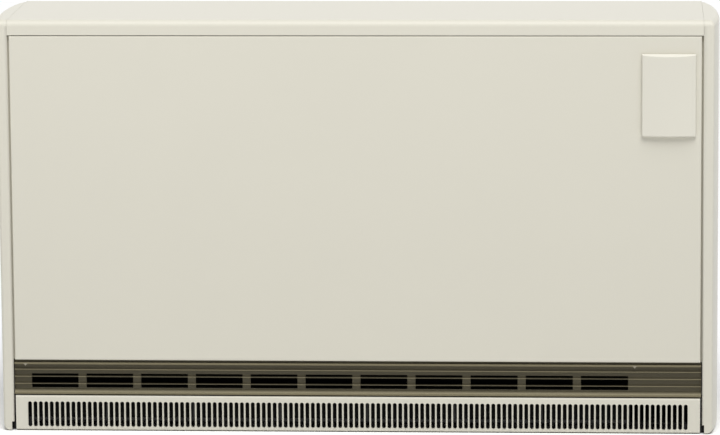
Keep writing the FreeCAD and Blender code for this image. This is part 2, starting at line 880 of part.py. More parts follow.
def wall_brackets():
    """Two bent brackets that take a wall bolt behind the rear wall."""
    bracket = body("wall_bracket")
    low, knee, high = f"{BRACKET} - bracket_leg", BRACKET, f"{BRACKET} + bracket_leg"
    points = [
        (BACK_OUT, low),
        (f"{BACK_OUT} + bracket_sheet", low),
        (f"{BACK_OUT} + bracket_sheet", f"{knee} - bracket_sheet"),
        (REAR, f"{knee} - bracket_sheet"),
        (REAR, high),
        (f"{REAR} - bracket_sheet", high),
        (f"{REAR} - bracket_sheet", knee),
        (BACK_OUT, knee),
    ]
    section = outline(bracket, "bracket_section", "YZ_Plane", points)
    strip = feature(bracket, "Pad", "bracket_strip", section, Length="bracket_width")
    strip.Midplane = True
    bolt = [("0", f"{BRACKET} + bracket_leg / 2")]
    screws = [("-screw_pitch / 2", SCREW_HEIGHT), ("screw_pitch / 2", SCREW_HEIGHT)]
    for name, radius, spots in (("bolt", "bracket_hole", bolt), ("screw", "screw_hole", screws)):
        sketch = circles(bracket, f"{name}_outline", "XZ_Plane", [radius], spots)
        hole = feature(bracket, "Pocket", f"{name}_holes", sketch)
        hole.Type = "ThroughAll"
        hole.Midplane = True
    pair = [copied(f"bracket_{i}", bracket, x) for i, x in enumerate(bracket_places())]
    return group("wall_brackets", *pair)


wall_brackets = wall_brackets()


def bracket_screws():
    """Pan-head screws that hold the wall brackets on the rear wall."""
    seat = f"{BACK_OUT} + bracket_sheet"
    screws = []
    for i, x in enumerate(screw_places()):
        shank = rod(f"shank_{i}", "y", "screw_hole - running_gap", (BACK_IN, seat), (x, SCREW_HEIGHT))
        head = rod(f"head_{i}", "y", "screw_head", (seat, f"{seat} + screw_crown"), (x, SCREW_HEIGHT))
        screws.append(fuse(f"screw_{i}", shank, head))
    return group("bracket_screws", *screws)


bracket_screws = bracket_screws()


def cable_gland():
    """Gland in the rear wall with its clamping cap, and the nut inside."""
    gland = body("gland")
    mouth = "gland_collar + gland_cap"
    points = [
        ("gland_bore", "-gland_length"),
        ("gland_barrel", "-gland_length"),
        ("gland_barrel", "0"),
        ("gland_flange", "0"),
        ("gland_flange", "gland_collar"),
        ("gland_cap_radius", "gland_collar"),
        ("gland_cap_radius", f"{mouth} - gland_cap_bevel"),
        ("gland_barrel", mouth),
        ("gland_bore", mouth),
    ]
    turned(gland, "gland_turned", points)
    place(gland, GLAND_X, BACK_OUT, "gland_height")
    nut = doc.addObject("Part::Prism", "gland_hexagon")
    nut.Polygon = 6
    nut.Placement = FreeCAD.Placement(FreeCAD.Vector(), TURNS["y"])
    bind(nut, Circumradius="gland_flange", Height="gland_nut")
    place(nut, GLAND_X, f"{BACK_IN} - gland_nut", "gland_height")
    bore_y = (f"{BACK_IN} - 2 * gland_nut", BACK_OUT)
    bore = rod("gland_nut_bore", "y", "gland_barrel + running_gap", bore_y, (GLAND_X, "gland_height"))
    return group("cable_gland", gland, cut("gland_nut", nut, bore))


cable_gland = cable_gland()


# Storage core

BAY_IN = f"({BAY} + carcass_sheet)"
INNER = f"({FRONT} + inner_gap)"
FRONT_IN = f"({INNER} + carcass_sheet)"
FLOOR_TOP = "(core_level + carcass_sheet)"
BED = f"({FLOOR_TOP} + slab_floor)"
COVER = f"({UNDER_TOP} - core_headroom - carcass_sheet)"
CEILING = f"({COVER} - slab_top)"
STACK_TOP = f"({CEILING} - air_space)"
BRICK_HEIGHT = f"(({STACK_TOP} - {BED}) / brick_layers)"
BRICK_FRONT = f"({FRONT_IN} + slab_front)"
BRICK_REAR = f"({BACK_IN} - slab_rear)"
BRICK_MID = f"(({BRICK_FRONT} + {BRICK_REAR}) / 2)"
BRICK_DEPTH = f"({BRICK_REAR} - {BRICK_MID})"
STACK_LEFT = f"(slab_left + bend_space - {WALL_IN})"
STACK_RIGHT = f"({BAY} - slab_right)"
BRICK_LENGTH = f"(({STACK_RIGHT} - {STACK_LEFT}) / brick_columns)"
FRONT_DUCT = (BRICK_FRONT, f"({BRICK_FRONT} + channel_depth)")
REAR_DUCT = (f"({BRICK_REAR} - channel_depth)", BRICK_REAR)
CORE_X = (f"-{WALL_IN}", BAY)
SENSOR_Z = f"({STACK_TOP} + element_radius)"
SENSOR_RADIUS = "(element_radius - running_gap)"


def layers():
    return range(int(size("brick_layers")))


def layer_middle(layer):
    """Height of the middle of a brick layer."""
    return f"({BED} + ({layer} + 0.5) * {BRICK_HEIGHT})"


def leg_heights():
    """Heights of all the element legs."""
    return [f"({layer_middle(layer)} {side} element_spread)" for layer in layers() for side in "-+"]


def vented(name, z):
    """A floor layer of the core with a slot for the air at the front and one at the rear."""
    slab = box(f"{name}_slab", CORE_X, (FRONT_IN, BACK_IN), z)
    x = (STACK_LEFT, STACK_RIGHT)
    deep = grown(z, "carcass_sheet")
    front = box(f"{name}_front", x, FRONT_DUCT, deep)
    rear = box(f"{name}_rear", x, REAR_DUCT, deep)
    return cut(name, slab, front, rear)


core_floor = vented("core_floor", ("core_level", FLOOR_TOP))
floor_insulation = vented("floor_insulation", (FLOOR_TOP, BED))
core_front_cover = box("core_front_cover", CORE_X, (INNER, FRONT_IN), ("core_level", COVER))
COVER_Z = (COVER, f"{COVER} + carcass_sheet")
core_top_cover = box("core_top_cover", (CORE_X[0], BAY_IN), (INNER, BACK_IN), COVER_Z)

SLAB_Z = (BED, CEILING)
BRICK_Y = (BRICK_FRONT, BRICK_REAR)
front_insulation = box("front_insulation", CORE_X, (FRONT_IN, BRICK_FRONT), SLAB_Z)
rear_insulation = box("rear_insulation", CORE_X, (BRICK_REAR, BACK_IN), SLAB_Z)
left_insulation = box("left_insulation", (CORE_X[0], f"slab_left - {WALL_IN}"), BRICK_Y, SLAB_Z)
top_insulation = box("top_insulation", CORE_X, (FRONT_IN, BACK_IN), (CEILING, COVER))


def leg_holes(name, x, radius, sensor):
    """Tools for the holes that the element legs and the core sensor pass through."""
    holes = [rod(f"{name}_leg_{i}", "x", radius, x, (BRICK_MID, z)) for i, z in enumerate(leg_heights())]
    holes.append(rod(f"{name}_sensor", "x", sensor, x, (BRICK_MID, SENSOR_Z)))
    return holes


RIGHT_SLAB_X = (STACK_RIGHT, BAY)
right_slab = box("right_slab", RIGHT_SLAB_X, BRICK_Y, SLAB_Z)
through_slab = grown(RIGHT_SLAB_X, "carcass_sheet")
right_holes = leg_holes("right_slab", through_slab, "element_groove", "element_radius")
right_insulation = cut("right_insulation", right_slab, *right_holes)


def storage_brick():
    """One storage brick: upright air channels outside and half-round grooves for the element inside."""
    brick = body("storage_brick")
    near_side, far_side = "brick_joint / 2", f"{BRICK_LENGTH} - brick_joint / 2"
    points = [(near_side, near_side), (far_side, near_side), (far_side, BRICK_DEPTH)]
    floor = f"{BRICK_DEPTH} - channel_depth"
    for i in reversed(range(int(size("channel_count")))):
        middle = f"({i} + 0.5) * {BRICK_LENGTH} / channel_count"
        right, left = f"{middle} + channel_width / 2", f"{middle} - channel_width / 2"
        points += [(right, BRICK_DEPTH), (right, floor), (left, floor), (left, BRICK_DEPTH)]
    points.append((near_side, BRICK_DEPTH))
    plan = outline(brick, "brick_plan", "XY_Plane", points)
    feature(brick, "Pad", "brick_block", plan, Length=BRICK_HEIGHT)
    spots = [("0", f"{BRICK_HEIGHT} / 2 {side} element_spread") for side in "-+"]
    grooves = circles(brick, "brick_grooves", "YZ_Plane", ["element_groove"], spots)
    groove = feature(brick, "Pocket", "brick_groove", grooves)
    groove.Type = "ThroughAll"
    groove.Midplane = True
    return brick


def brick_layer(name, layer, rear_brick, front_brick):
    """One layer of bricks, in a front and a rear row."""
    height = f"{BED} + {layer} * {BRICK_HEIGHT}"
    bricks = []
    for column in range(int(size("brick_columns"))):
        x = f"{STACK_LEFT} + {column} * {BRICK_LENGTH}"
        bricks.append(copied(f"{name}_rear_{column}", rear_brick, x, BRICK_MID, height))
        bricks.append(copied(f"{name}_front_{column}", front_brick, x, BRICK_MID, height))
    return group(name, *bricks)


rear_brick = storage_brick()
front_brick = doc.addObject("Part::Mirroring", "front_brick")
front_brick.Source = rear_brick
front_brick.Normal = FreeCAD.Vector(0, 1, 0)
brick_layers = [brick_layer(f"bricks_layer_{i + 1}", i, rear_brick, front_brick) for i in layers()]


def heating_elements():
    """Hairpin elements: two legs, the bend in the left hand space and a terminal pin on each leg."""
    bend_x = f"({STACK_LEFT} + element_radius)"
    tail = f"({BAY_IN} + element_tail)"
    half = FreeCAD.Rotation(VERTICAL, FreeCAD.Vector(-1, 0, 0), FreeCAD.Vector(0, -1, 0), "XYZ")
    hairpins = []
    for layer in layers():
        middle = layer_middle(layer)
        bend = doc.addObject("Part::Torus", f"element_bend_{layer}")
        bend.Placement = FreeCAD.Placement(FreeCAD.Vector(), half)
        bend.Angle3 = 180
        bind(bend, Radius1="element_spread", Radius2="element_radius")
        place(bend, bend_x, BRICK_MID, middle)
        pieces = [bend]
        for i, side in enumerate("-+"):
            at = (BRICK_MID, f"{middle} {side} element_spread")
            name = f"element_{layer}_{i}"
            pieces.append(rod(f"{name}_leg", "x", "element_radius", (bend_x, tail), at))
            pieces.append(rod(f"{name}_pin", "x", "pin_radius", (tail, f"{tail} + pin_length"), at))
        hairpins.append(fuse(f"element_{layer}", *pieces))
    return group("heating_elements", *hairpins)


heating_elements = heating_elements()


def element_bushes():
    """Ceramic bushes that carry the element legs in the partition."""
    bushes = []
    flange = (BAY_IN, f"{BAY_IN} + bush_length")
    collar = (BAY, BAY_IN)
    through = grown((BAY, flange[1]), "carcass_sheet")
    for i, z in enumerate(leg_heights()):
        at = (BRICK_MID, z)
        outer = fuse(
            f"bush_outer_{i}",
            rod(f"bush_flange_{i}", "x", "bush_flange", flange, at),
            rod(f"bush_collar_{i}", "x", "bush_radius - running_gap", collar, at),
        )
        bore = rod(f"bush_bore_{i}", "x", "element_radius + bush_clear", through, at)
        bushes.append(cut(f"bush_{i}", outer, bore))
    return group("element_bushes", *bushes)


element_bushes = element_bushes()


# Fan

FAN_Y = f"({BRICK_REAR} - impeller_radius - scroll_gap)"
FAN_AT = (FAN_Y, "fan_height")
MOTOR_X = f"(({STACK_LEFT} + {STACK_RIGHT}) / 2)"
SIDES = {"left": "-", "right": "+"}


def beside_motor(sign, distance):
    """A place along the fan's axis, measured from the middle of the motor."""
    return f"({MOTOR_X} {sign} ({distance}))"


def fan_span(sign, inner, outer):
    """A span along the fan's axis on one side of the motor, in rising order."""
    ends = (beside_motor(sign, inner), beside_motor(sign, outer))
    return ends if sign == "+" else (ends[1], ends[0])


IMPELLER_IN = "(motor_space / 2)"
IMPELLER_LENGTH = f"(({STACK_RIGHT} - {STACK_LEFT} - motor_space) / 2 + fan_overhang)"
IMPELLER_OUT = f"({IMPELLER_IN} + {IMPELLER_LENGTH})"
PLATE_IN = f"({IMPELLER_IN} - plate_space)"
PLATE_OUT = f"({IMPELLER_OUT} + plate_space)"
PLATES = []
for sign in SIDES.values():
    PLATES.append(fan_span(sign, f"{PLATE_IN} - carcass_sheet", PLATE_IN))
    PLATES.append(fan_span(sign, PLATE_OUT, f"{PLATE_OUT} + carcass_sheet"))


def fan_end_plates():
    """Plates between base tray and core floor that carry the bearings."""
    y = (f"{FAN_Y} - impeller_radius - scroll_gap", f"{BRICK_REAR} + scroll_gap")
    plates = []
    for i, x in enumerate(PLATES):
        sheet_plate = box(f"fan_plate_sheet_{i}", x, y, (TRAY, "core_level"))
        hole = rod(f"fan_plate_hole_{i}", "x", "bearing_radius", grown(x, "carcass_sheet"), FAN_AT)
        plates.append(cut(f"fan_plate_{i}", sheet_plate, hole))
    return group("fan_end_plates", *plates)


fan_end_plates = fan_end_plates()


def fan_bearings():
    """Sintered bushes in the end plates, each with a flange against its plate."""
    bushes = []
    for i, (low, high) in enumerate(PLATES):
        inside = (high, f"{high} + bearing_flange")
        barrel = (f"{low} - bearing_flange", high)
        outer = fuse(
            f"bearing_outer_{i}",
            rod(f"bearing_flange_{i}", "x", "bearing_radius + bearing_flange", inside, FAN_AT),
            rod(f"bearing_barrel_{i}", "x", "bearing_radius - running_gap", barrel, FAN_AT),
        )
        bore_x = grown((low, high), "bearing_length")
        bore = rod(f"bearing_bore_{i}", "x", "shaft_radius + running_gap", bore_x, FAN_AT)
        bushes.append(cut(f"bearing_{i}", outer, bore))
    return group("fan_bearings", *bushes)


fan_bearings = fan_bearings()

SHAFT_END = f"({PLATE_OUT} + bearing_length)"
SHAFT_X = (beside_motor("-", SHAFT_END), beside_motor("+", SHAFT_END))
fan_shaft = rod("fan_shaft", "x", "shaft_radius", SHAFT_X, FAN_AT)


def impeller():
    """Cross-flow impeller: discs along the axis with curved blades round their rims."""
    wheel = body("impeller")
    bore = "shaft_radius + running_gap"
    ring = circles(wheel, "disc_outline", "XY_Plane", ["impeller_radius", bore], [("0", "0")])
    disc = feature(wheel, "Pad", "disc", ring, Length="impeller_disc")
    step = f"({IMPELLER_LENGTH} - impeller_disc) / (disc_count - 1)"
    row_of(wheel, "discs", disc, ring, "N_Axis", Occurrences="disc_count", Offset=step)
    root, rim = "(impeller_radius - impeller_ring)", "(impeller_radius - blade_sheet)"
    middle = f"(({root} + {rim}) / 2)"
    points = [
        (root, "0"),
        (middle, "blade_lead"),
        (rim, "blade_swing"),
        (f"{rim} - blade_sheet", "blade_swing + blade_sheet"),
        (f"{middle} - blade_sheet / 2", "blade_lead + blade_sheet"),
        (root, "blade_sheet"),
    ]
    section = outline(wheel, "blade_outline", "XY_Plane", points)
    blade = feature(wheel, "Pad", "blade", section, Length=IMPELLER_LENGTH)
    ring_of(wheel, "blades", blade, ring, "blade_count")
    wheel.Placement = FreeCAD.Placement(FreeCAD.Vector(), TURNS["x"])
    return wheel


wheel = impeller()
impellers = []
for side, sign in SIDES.items():
    wheel_copy = doc.addObject("App::Link", f"{side}_wheel")
    wheel_copy.LinkedObject = wheel
    wheel_copy.Placement = FreeCAD.Placement(FreeCAD.Vector(), TURNS["x"])
    place(wheel_copy, fan_span(sign, IMPELLER_IN, IMPELLER_OUT)[0], *FAN_AT)
    impellers.append(group(f"fan_impeller_{side}", wheel_copy))


def fan_scrolls():
    """Sheet that wraps the lower rear of each impeller and leads up to the rear slot of the core."""
    inner = "(impeller_radius + scroll_gap)"
    scrolls = []
    for side, sign in SIDES.items():
        x = fan_span(sign, PLATE_IN, PLATE_OUT)
        outer = rod(f"{side}_scroll_outer", "x", f"{inner} + carcass_sheet", x, FAN_AT)
        bore = rod(f"{side}_scroll_bore", "x", inner, x, FAN_AT)
        y = (f"{FAN_Y} - impeller_radius / 2", f"{BRICK_REAR} + scroll_gap")
        quarter = box(f"{side}_scroll_quarter", x, y, (TRAY, "fan_height"))
        curve = common(f"{side}_scroll_curve", cut(f"{side}_scroll_tube", outer, bore), quarter)
        rise_y = (BRICK_REAR, f"{BRICK_REAR} + carcass_sheet")
        rise = box(f"{side}_scroll_rise", x, rise_y, ("fan_height", "core_level"))
        scrolls.append(fuse(f"{side}_scroll", curve, rise))
    return group("fan_scrolls", *scrolls)


fan_scrolls = fan_scrolls()


def fan_tongues():
    """Angle strips under the core floor that part the air from the impellers."""
    low = "(fan_height + impeller_radius + tongue_gap)"
    back = REAR_DUCT[0]
    tongues = []
    for side, sign in SIDES.items():
        x = fan_span(sign, PLATE_IN, PLATE_OUT)
        upright = box(f"{side}_tongue_plate", x, (f"{back} - carcass_sheet", back), (low, "core_level"))
        lip_y = (f"{back} - tongue_lip", f"{back} - carcass_sheet")
        lip = box(f"{side}_tongue_lip", x, lip_y, (low, f"{low} + carcass_sheet"))
        tongues.append(fuse(f"{side}_tongue", upright, lip))
    return group("fan_tongues", *tongues)


fan_tongues = fan_tongues()

STATOR_BORE = "(rotor_radius + rotor_gap)"
STATOR_HIGH = "(fan_height + stator_crown)"
STATOR_LOW = f"({STATOR_HIGH} - stator_height)"
LIMB_HIGH = f"({STATOR_LOW} + stator_limb)"
COIL_HIGH = f"(fan_height - {STATOR_BORE} - coil_clear)"
MOTOR_SPAN = fan_span("+", "-motor_length / 2", "motor_length / 2")


def motor_stator():
    """Laminated core of the motor with the rotor's bore and the window for the coil."""
    core = body("motor_stator")
    half = "stator_width / 2"
    left, right = f"{FAN_Y} - {half}", f"{FAN_Y} + {half}"
    corners = [(left, STATOR_LOW), (right, STATOR_LOW), (right, STATOR_HIGH), (left, STATOR_HIGH)]
    block = outline(core, "stator_outline", "YZ_Plane", corners, offset=MOTOR_SPAN[0])
    feature(core, "Pad", "stator_block", block, Length="motor_length")
    quarter = "(stator_width / 4 + carcass_sheet)"
    near_side, far_side = f"{FAN_Y} - {quarter}", f"{FAN_Y} + {quarter}"
    window_high = f"{COIL_HIGH} + carcass_sheet"
    low_corners = [(near_side, LIMB_HIGH), (far_side, LIMB_HIGH)]
    corners = [*low_corners, (far_side, window_high), (near_side, window_high)]
    start = MOTOR_SPAN[0]
    bore = circles(core, "stator_bore_outline", "YZ_Plane", [STATOR_BORE], [FAN_AT], start)
    window = outline(core, "stator_window_outline", "YZ_Plane", corners, offset=start)
    for name, sketch in (("stator_bore", bore), ("stator_window", window)):
        hole = feature(core, "Pocket", name, sketch)
        hole.Type = "ThroughAll"
        hole.Midplane = True
    return core


motor_stator = motor_stator()


def motor_coil():
    """Winding on the lower limb of the stator."""
    x = grown(MOTOR_SPAN, "coil_overhang")
    y = (f"{FAN_Y} - stator_width / 4", f"{FAN_Y} + stator_width / 4")
    low = f"{TRAY} + 2 * carcass_sheet"
    block = box("coil_block", x, y, (low, COIL_HIGH))

    def across(edge, whole):
        return near(edge.YLength, whole.YLength)

    soft = rounded("coil_round", block, [(across, size("coil_bend"))])
    limb = box("coil_limb", MOTOR_SPAN, grown(y, "carcass_sheet"), (STATOR_LOW, LIMB_HIGH))
    return cut("motor_coil", soft, limb)


motor_coil = motor_coil()

ROTOR_X = grown(MOTOR_SPAN, "carcass_sheet")
motor_rotor = cut(
    "motor_rotor",
    rod("rotor_block", "x", "rotor_radius", ROTOR_X, FAN_AT),
    rod("rotor_bore", "x", "shaft_radius + running_gap", grown(ROTOR_X, "carcass_sheet"), FAN_AT),
)


def motor_bracket():
    """Bent strap on the base tray that holds the stator on both sides."""
    out = "(stator_width / 2 + carcass_sheet)"
    half = "stator_width / 2"
    rise = (TRAY, "fan_height")
    base_y = (f"{FAN_Y} - {out} - bracket_leg / 2", f"{FAN_Y} + {out} + bracket_leg / 2")
    return fuse(
        "motor_bracket",
        box("motor_base", MOTOR_SPAN, base_y, (TRAY, f"{TRAY} + carcass_sheet")),
        box("motor_front_arm", MOTOR_SPAN, (f"{FAN_Y} - {out}", f"{FAN_Y} - {half}"), rise),
        box("motor_rear_arm", MOTOR_SPAN, (f"{FAN_Y} + {half}", f"{FAN_Y} + {out}"), rise),
    )


motor_bracket = motor_bracket()


# Outlet duct, damper and filter

DUCT_TOP = f"({LOUVRE_LOW} + opening_rise - filter_frame)"
DUCT_BACK = f"({SEAT} + duct_depth)"
outlet_duct = fuse(
    "outlet_duct",
    box("duct_floor", CORE_X, (SEAT, DUCT_BACK), (f"{DUCT_TOP} - carcass_sheet", DUCT_TOP)),
    box("duct_rear", CORE_X, (f"{DUCT_BACK} - carcass_sheet", DUCT_BACK), (DUCT_TOP, "core_level")),
)

DAMPER_Y = f"({SEAT} + damper_inset)"
DAMPER_Z = "(core_level - damper_drop)"
DAMPER_AT = (DAMPER_Y, DAMPER_Z)
BUSH_SPANS = [
    (f"(bend_space - {WALL_IN})", f"(bend_space + damper_bush - {WALL_IN})"),
    (f"({BAY} - 2 * damper_bush)", f"({BAY} - damper_bush)"),
]


def damper_bushes():
    """Bearing blocks under the core floor for the damper's shaft."""
    blocks = []
    for i, x in enumerate(BUSH_SPANS):
        y = (f"{DAMPER_Y} - damper_bush", f"{DAMPER_Y} + damper_bush")
        block = box(f"damper_block_{i}", x, y, (f"{DAMPER_Z} - damper_bush", "core_level"))
        through = grown(x, "damper_bush")
        bore = rod(f"damper_bore_{i}", "x", "damper_radius + running_gap", through, DAMPER_AT)
        blocks.append(cut(f"damper_bush_{i}", block, bore))
    return group("damper_bushes", *blocks)


damper_bushes = damper_bushes()

DAMPER_END = f"({BAY_IN} + damper_tail)"
DAMPER_X = (f"{BUSH_SPANS[0][0]} - damper_radius", DAMPER_END)
damper_shaft = rod("damper_shaft", "x", "damper_radius", DAMPER_X, DAMPER_AT)


def damper_blade():
    """Blade below the front slot of the core, clamped round its shaft, with a turned front edge."""
    x = (f"{BUSH_SPANS[0][1]} + damper_radius", f"{BUSH_SPANS[1][0]} - damper_radius")
    half = "carcass_sheet / 2"
    tip = f"{DAMPER_Y} - damper_blade"
    sheet_z = (f"{DAMPER_Z} - {half}", f"{DAMPER_Z} + {half}")
    turn_z = (f"{DAMPER_Z} - damper_radius", f"{DAMPER_Z} + {half}")
    whole = fuse(
        "damper_whole",
        box("damper_sheet", x, (tip, DAMPER_Y), sheet_z),
        box("damper_turn", x, (tip, f"{tip} + carcass_sheet"), turn_z),
        rod("damper_clamp", "x", "damper_radius + carcass_sheet / 2", x, DAMPER_AT),
    )
    return cut("damper_blade", whole, rod("damper_hollow", "x", "damper_radius", grown(x, half), DAMPER_AT))


damper_blade = damper_blade()


def damper_actuator():
    """Drum on the partition that turns the damper's shaft."""
    drum_x = (BAY_IN, f"{BAY_IN} + actuator_length")
    drum = rod("actuator_drum", "x", "actuator_radius", drum_x, DAMPER_AT)
    foot_x = (BAY_IN, f"{BAY_IN} + damper_radius")
    foot_y = grown((DAMPER_Y, DAMPER_Y), "actuator_foot")
    foot = box("actuator_base", foot_x, foot_y, grown((DAMPER_Z, DAMPER_Z), "damper_bush"))
    socket_x = (f"{BAY_IN} - damper_radius", f"{DAMPER_END} + damper_radius")
    socket = rod("actuator_socket", "x", "damper_radius + running_gap", socket_x, DAMPER_AT)
    return cut("damper_actuator", fuse("actuator_whole", drum, foot), socket)


damper_actuator = damper_actuator()

FILTER_X = (f"(filter_frame - {WALL_IN})", f"({BAY} - filter_frame)")
FILTER_Y = (f"({SEAT} + 2 * carcass_sheet)", f"({SEAT} + 2 * carcass_sheet + filter_frame)")
FILTER_Z = (TRAY, f"({TRAY} + filter_height)")


def filter_frame():
    """Frame of the lint filter, with bars between its bays."""
    outer = box("filter_block", FILTER_X, FILTER_Y, FILTER_Z)
    bays = int(size("filter_bars")) + 1
    pitch = f"(({FILTER_X[1]} - {FILTER_X[0]} - filter_frame) / {bays})"
    y, z = grown(FILTER_Y, "filter_frame"), grown(FILTER_Z, "-filter_frame")
    windows = []
    for i in range(bays):
        left = f"{FILTER_X[0]} + filter_frame + {i} * {pitch}"
        windows.append(box(f"filter_bay_{i}", (left, f"{left} + {pitch} - filter_frame"), y, z))
    return cut("filter_frame", outer, *windows)


filter_frame = filter_frame()
filter_mesh = box("filter_mesh", FILTER_X, (FILTER_Y[1], f"{FILTER_Y[1]} + carcass_sheet / 2"), FILTER_Z)


# Electrical bay

def bay_partition():
    """Sheet between the storage core and the electrical bay."""
    x = (BAY, BAY_IN)
    through = grown(x, "carcass_sheet")
    wall = box("partition_sheet", x, (FRONT_IN, f"{BACK_IN} - carcass_sheet"), (TRAY, COVER))
    holes = leg_holes("partition", through, "bush_radius", "element_radius")
    holes.append(rod("partition_damper", "x", "damper_radius + shaft_clear", through, DAMPER_AT))
    return cut("bay_partition", wall, *holes)


bay_partition = bay_partition()


def core_sensor():
    """Probe that lies on the upper bricks, with its boss on the partition."""
    at = (BRICK_MID, SENSOR_Z)
    probe_x = (f"{STACK_RIGHT} - sensor_reach", f"{BAY_IN} + sensor_tail")
    probe = rod("sensor_probe", "x", SENSOR_RADIUS, probe_x, at)
    collar = rod("sensor_collar", "x", "sensor_boss", (BAY_IN, f"{BAY_IN} + sensor_boss"), at)
    return fuse("core_sensor", probe, collar)


core_sensor = core_sensor()


def safety_limiter():
    """Thermal cut-out: a capped disc with two tabs and a mounting ear on the partition."""
    top_layer = layers()[-1]
    y, z = at = (f"({BRICK_MID} + limiter_shift)", layer_middle(top_layer))
    face = f"({BAY_IN} + limiter_depth)"
    ear_y, ear_z = grown((y, y), "limiter_ear"), grown((z, z), "bush_radius")
    pieces = [
        box("limiter_base", (BAY_IN, f"{BAY_IN} + pin_radius"), ear_y, ear_z),
        rod("limiter_cap", "x", "limiter_radius", (BAY_IN, face), at),
    ]
    for i, side in enumerate("-+"):
        middle = f"({y} {side} limiter_radius / 2)"
        tab_y = grown((middle, middle), "pin_radius")
        tab_z = grown((z, z), "carcass_sheet / 2")
        pieces.append(box(f"limiter_tab_{i}", (face, f"{face} + limiter_tab"), tab_y, tab_z))
    return fuse("safety_limiter", *pieces)


safety_limiter = safety_limiter()

BAY_MID = f"(({BAY_IN} + {WALL_IN}) / 2)"


def on_rear_wall(owner, name, x, z, **sizes):
    """A block that stands on the inside of the rear wall."""
    corners = [(x[0], z[0]), (x[1], z[0]), (x[1], z[1]), (x[0], z[1])]
    base = outline(owner, f"{name}_outline", "XZ_Plane", corners, offset=f"-{BACK_IN}")
    return feature(owner, "Pad", name, base, **sizes)


def charge_controller():
    """Housing on the rear wall with a row of cooling fins."""
    case = body("charge_controller")
    half = "controller_width / 2"
    x = (f"{BAY_MID} - {half}", f"{BAY_MID} + {half}")
    z = ("controller_rise", "controller_rise + controller_height")
    on_rear_wall(case, "controller_block", x, z, Length="controller_depth")
    pitch = "2 * controller_width / (2 * controller_fins - 1)"
    face = f"controller_depth - {BACK_IN}"
    right = f"{x[0]} + controller_width / (2 * controller_fins - 1)"
    corners = [(x[0], z[0]), (right, z[0]), (right, z[1]), (x[0], z[1])]
    section = outline(case, "controller_fin_outline", "XZ_Plane", corners, offset=face)
    fin = feature(case, "Pad", "controller_fin_pad", section, Length="controller_fin")
    row_of(case, "controller_fin_row", fin, section, "H_Axis", Occurrences="controller_fins", Offset=pitch)
    return case


charge_controller = charge_controller()


def terminal_block():
    """Moulded block on the rear wall with a row of screw wells."""
    block = body("terminal_block")
    half = "terminal_ways * terminal_pitch / 2"
    x = (f"{BAY_MID} - {half}", f"{BAY_MID} + {half}")
    z = ("terminal_rise", "terminal_rise + terminal_height")
    on_rear_wall(block, "terminal_bar", x, z, Length="terminal_depth")
    first = f"{x[0]} + terminal_pitch / 2"
    spots = [(first, f"terminal_rise + {quarters} * terminal_height / 4") for quarters in (1, 3)]
    face = f"terminal_depth - {BACK_IN}"
    wells = circles(block, "terminal_well_outline", "XZ_Plane", ["terminal_well"], spots, offset=face)
    well = feature(block, "Pocket", "terminal_wells", wells, Length="well_depth")
    ways = {"Occurrences": "terminal_ways", "Offset": "terminal_pitch"}
    row_of(block, "terminal_row", well, wells, "H_Axis", **ways)
    return block


terminal_block = terminal_block()


# Controls

RECESS_FACE = f"({FRONT} + casing_sheet)"
RECESS_FLOOR = f"({FRONT} + recess_depth)"
RECESS_BACK = f"({RECESS_FLOOR} + recess_wall)"
HINGE_Y = f"({FRONT} - flap_clear - hinge_radius)"
HINGE_Z = f"({FLAP_LOW} + hinge_radius)"
HINGE_AT = (HINGE_Y, HINGE_Z)
EAR_NEAR = "(flap_wall + hinge_pin)"
EARS = [
    (f"({FLAP_LEFT} + {EAR_NEAR})", f"({FLAP_LEFT} + {EAR_NEAR} + hinge_ear)"),
    (f"({FLAP_RIGHT} - {EAR_NEAR} - hinge_ear)", f"({FLAP_RIGHT} - {EAR_NEAR})"),
]
KNOB_AT = (FLAP_MID, f"({FLAP_HIGH} - knob_drop)")
SWITCH_X = f"({FLAP_MID} - switch_shift)"
SWITCH_Z = f"({FLAP_LOW} + switch_rise)"
PIVOT_Y = f"({RECESS_FLOOR} + rocker_root)"
LAMP_X = f"({FLAP_MID} + lamp_shift)"


def switch_room(by):
    """Spans of the rocker's cavity in X and Z, grown by a wall."""
    x = grown((SWITCH_X, SWITCH_X), f"rocker_width / 2 + rocker_gap + {by}")
    return x, grown((SWITCH_Z, SWITCH_Z), f"rocker_half + rocker_swing + {by}")


def control_recess():
    """Moulded box behind the window, with a flange behind the front panel and two hinge ears."""
    shell = fuse("recess_shell", *[
        box(f"recess_{name}", grown(RECESS_X, by), (RECESS_FACE, back), grown(RECESS_Z, by))
        for name, by, back in (
            ("box", "recess_wall", RECESS_BACK),
            ("rim", "recess_flange", f"{RECESS_FACE} + recess_wall"),
        )
    ])
    hollow = cut("recess_hollow", shell, box("recess_room", RECESS_X, (FRONT, RECESS_FLOOR), RECESS_Z))
    pieces = [hollow]
    tools = []
    barrel = "hinge_radius - ear_inset"
    for i, x in enumerate(EARS):
        pieces.append(rod(f"ear_barrel_{i}", "x", barrel, x, HINGE_AT))
        arm_y = (HINGE_Y, f"{RECESS_FACE} + 2 * recess_wall")
        pieces.append(box(f"ear_arm_{i}", x, arm_y, (RECESS_Z[0], f"{HINGE_Z} + {barrel}")))
        tools.append(rod(f"ear_hole_{i}", "x", "hinge_pin + running_gap", grown(x, "hinge_pin"), HINGE_AT))
    through = grown((RECESS_FLOOR, RECESS_BACK), "recess_wall / 2")
    switch_x, switch_z = switch_room("switch_wall + running_gap")
    tools.append(rod("spindle_hole", "y", "spindle_radius + spindle_clear", through, KNOB_AT))
    tools.append(box("switch_hole", switch_x, through, switch_z))
    tools.append(rod("lamp_hole", "y", "lamp_radius + running_gap", through, (LAMP_X, SWITCH_Z)))
    return cut("control_recess", fuse("recess_eared", *pieces), *tools)


control_recess = control_recess()


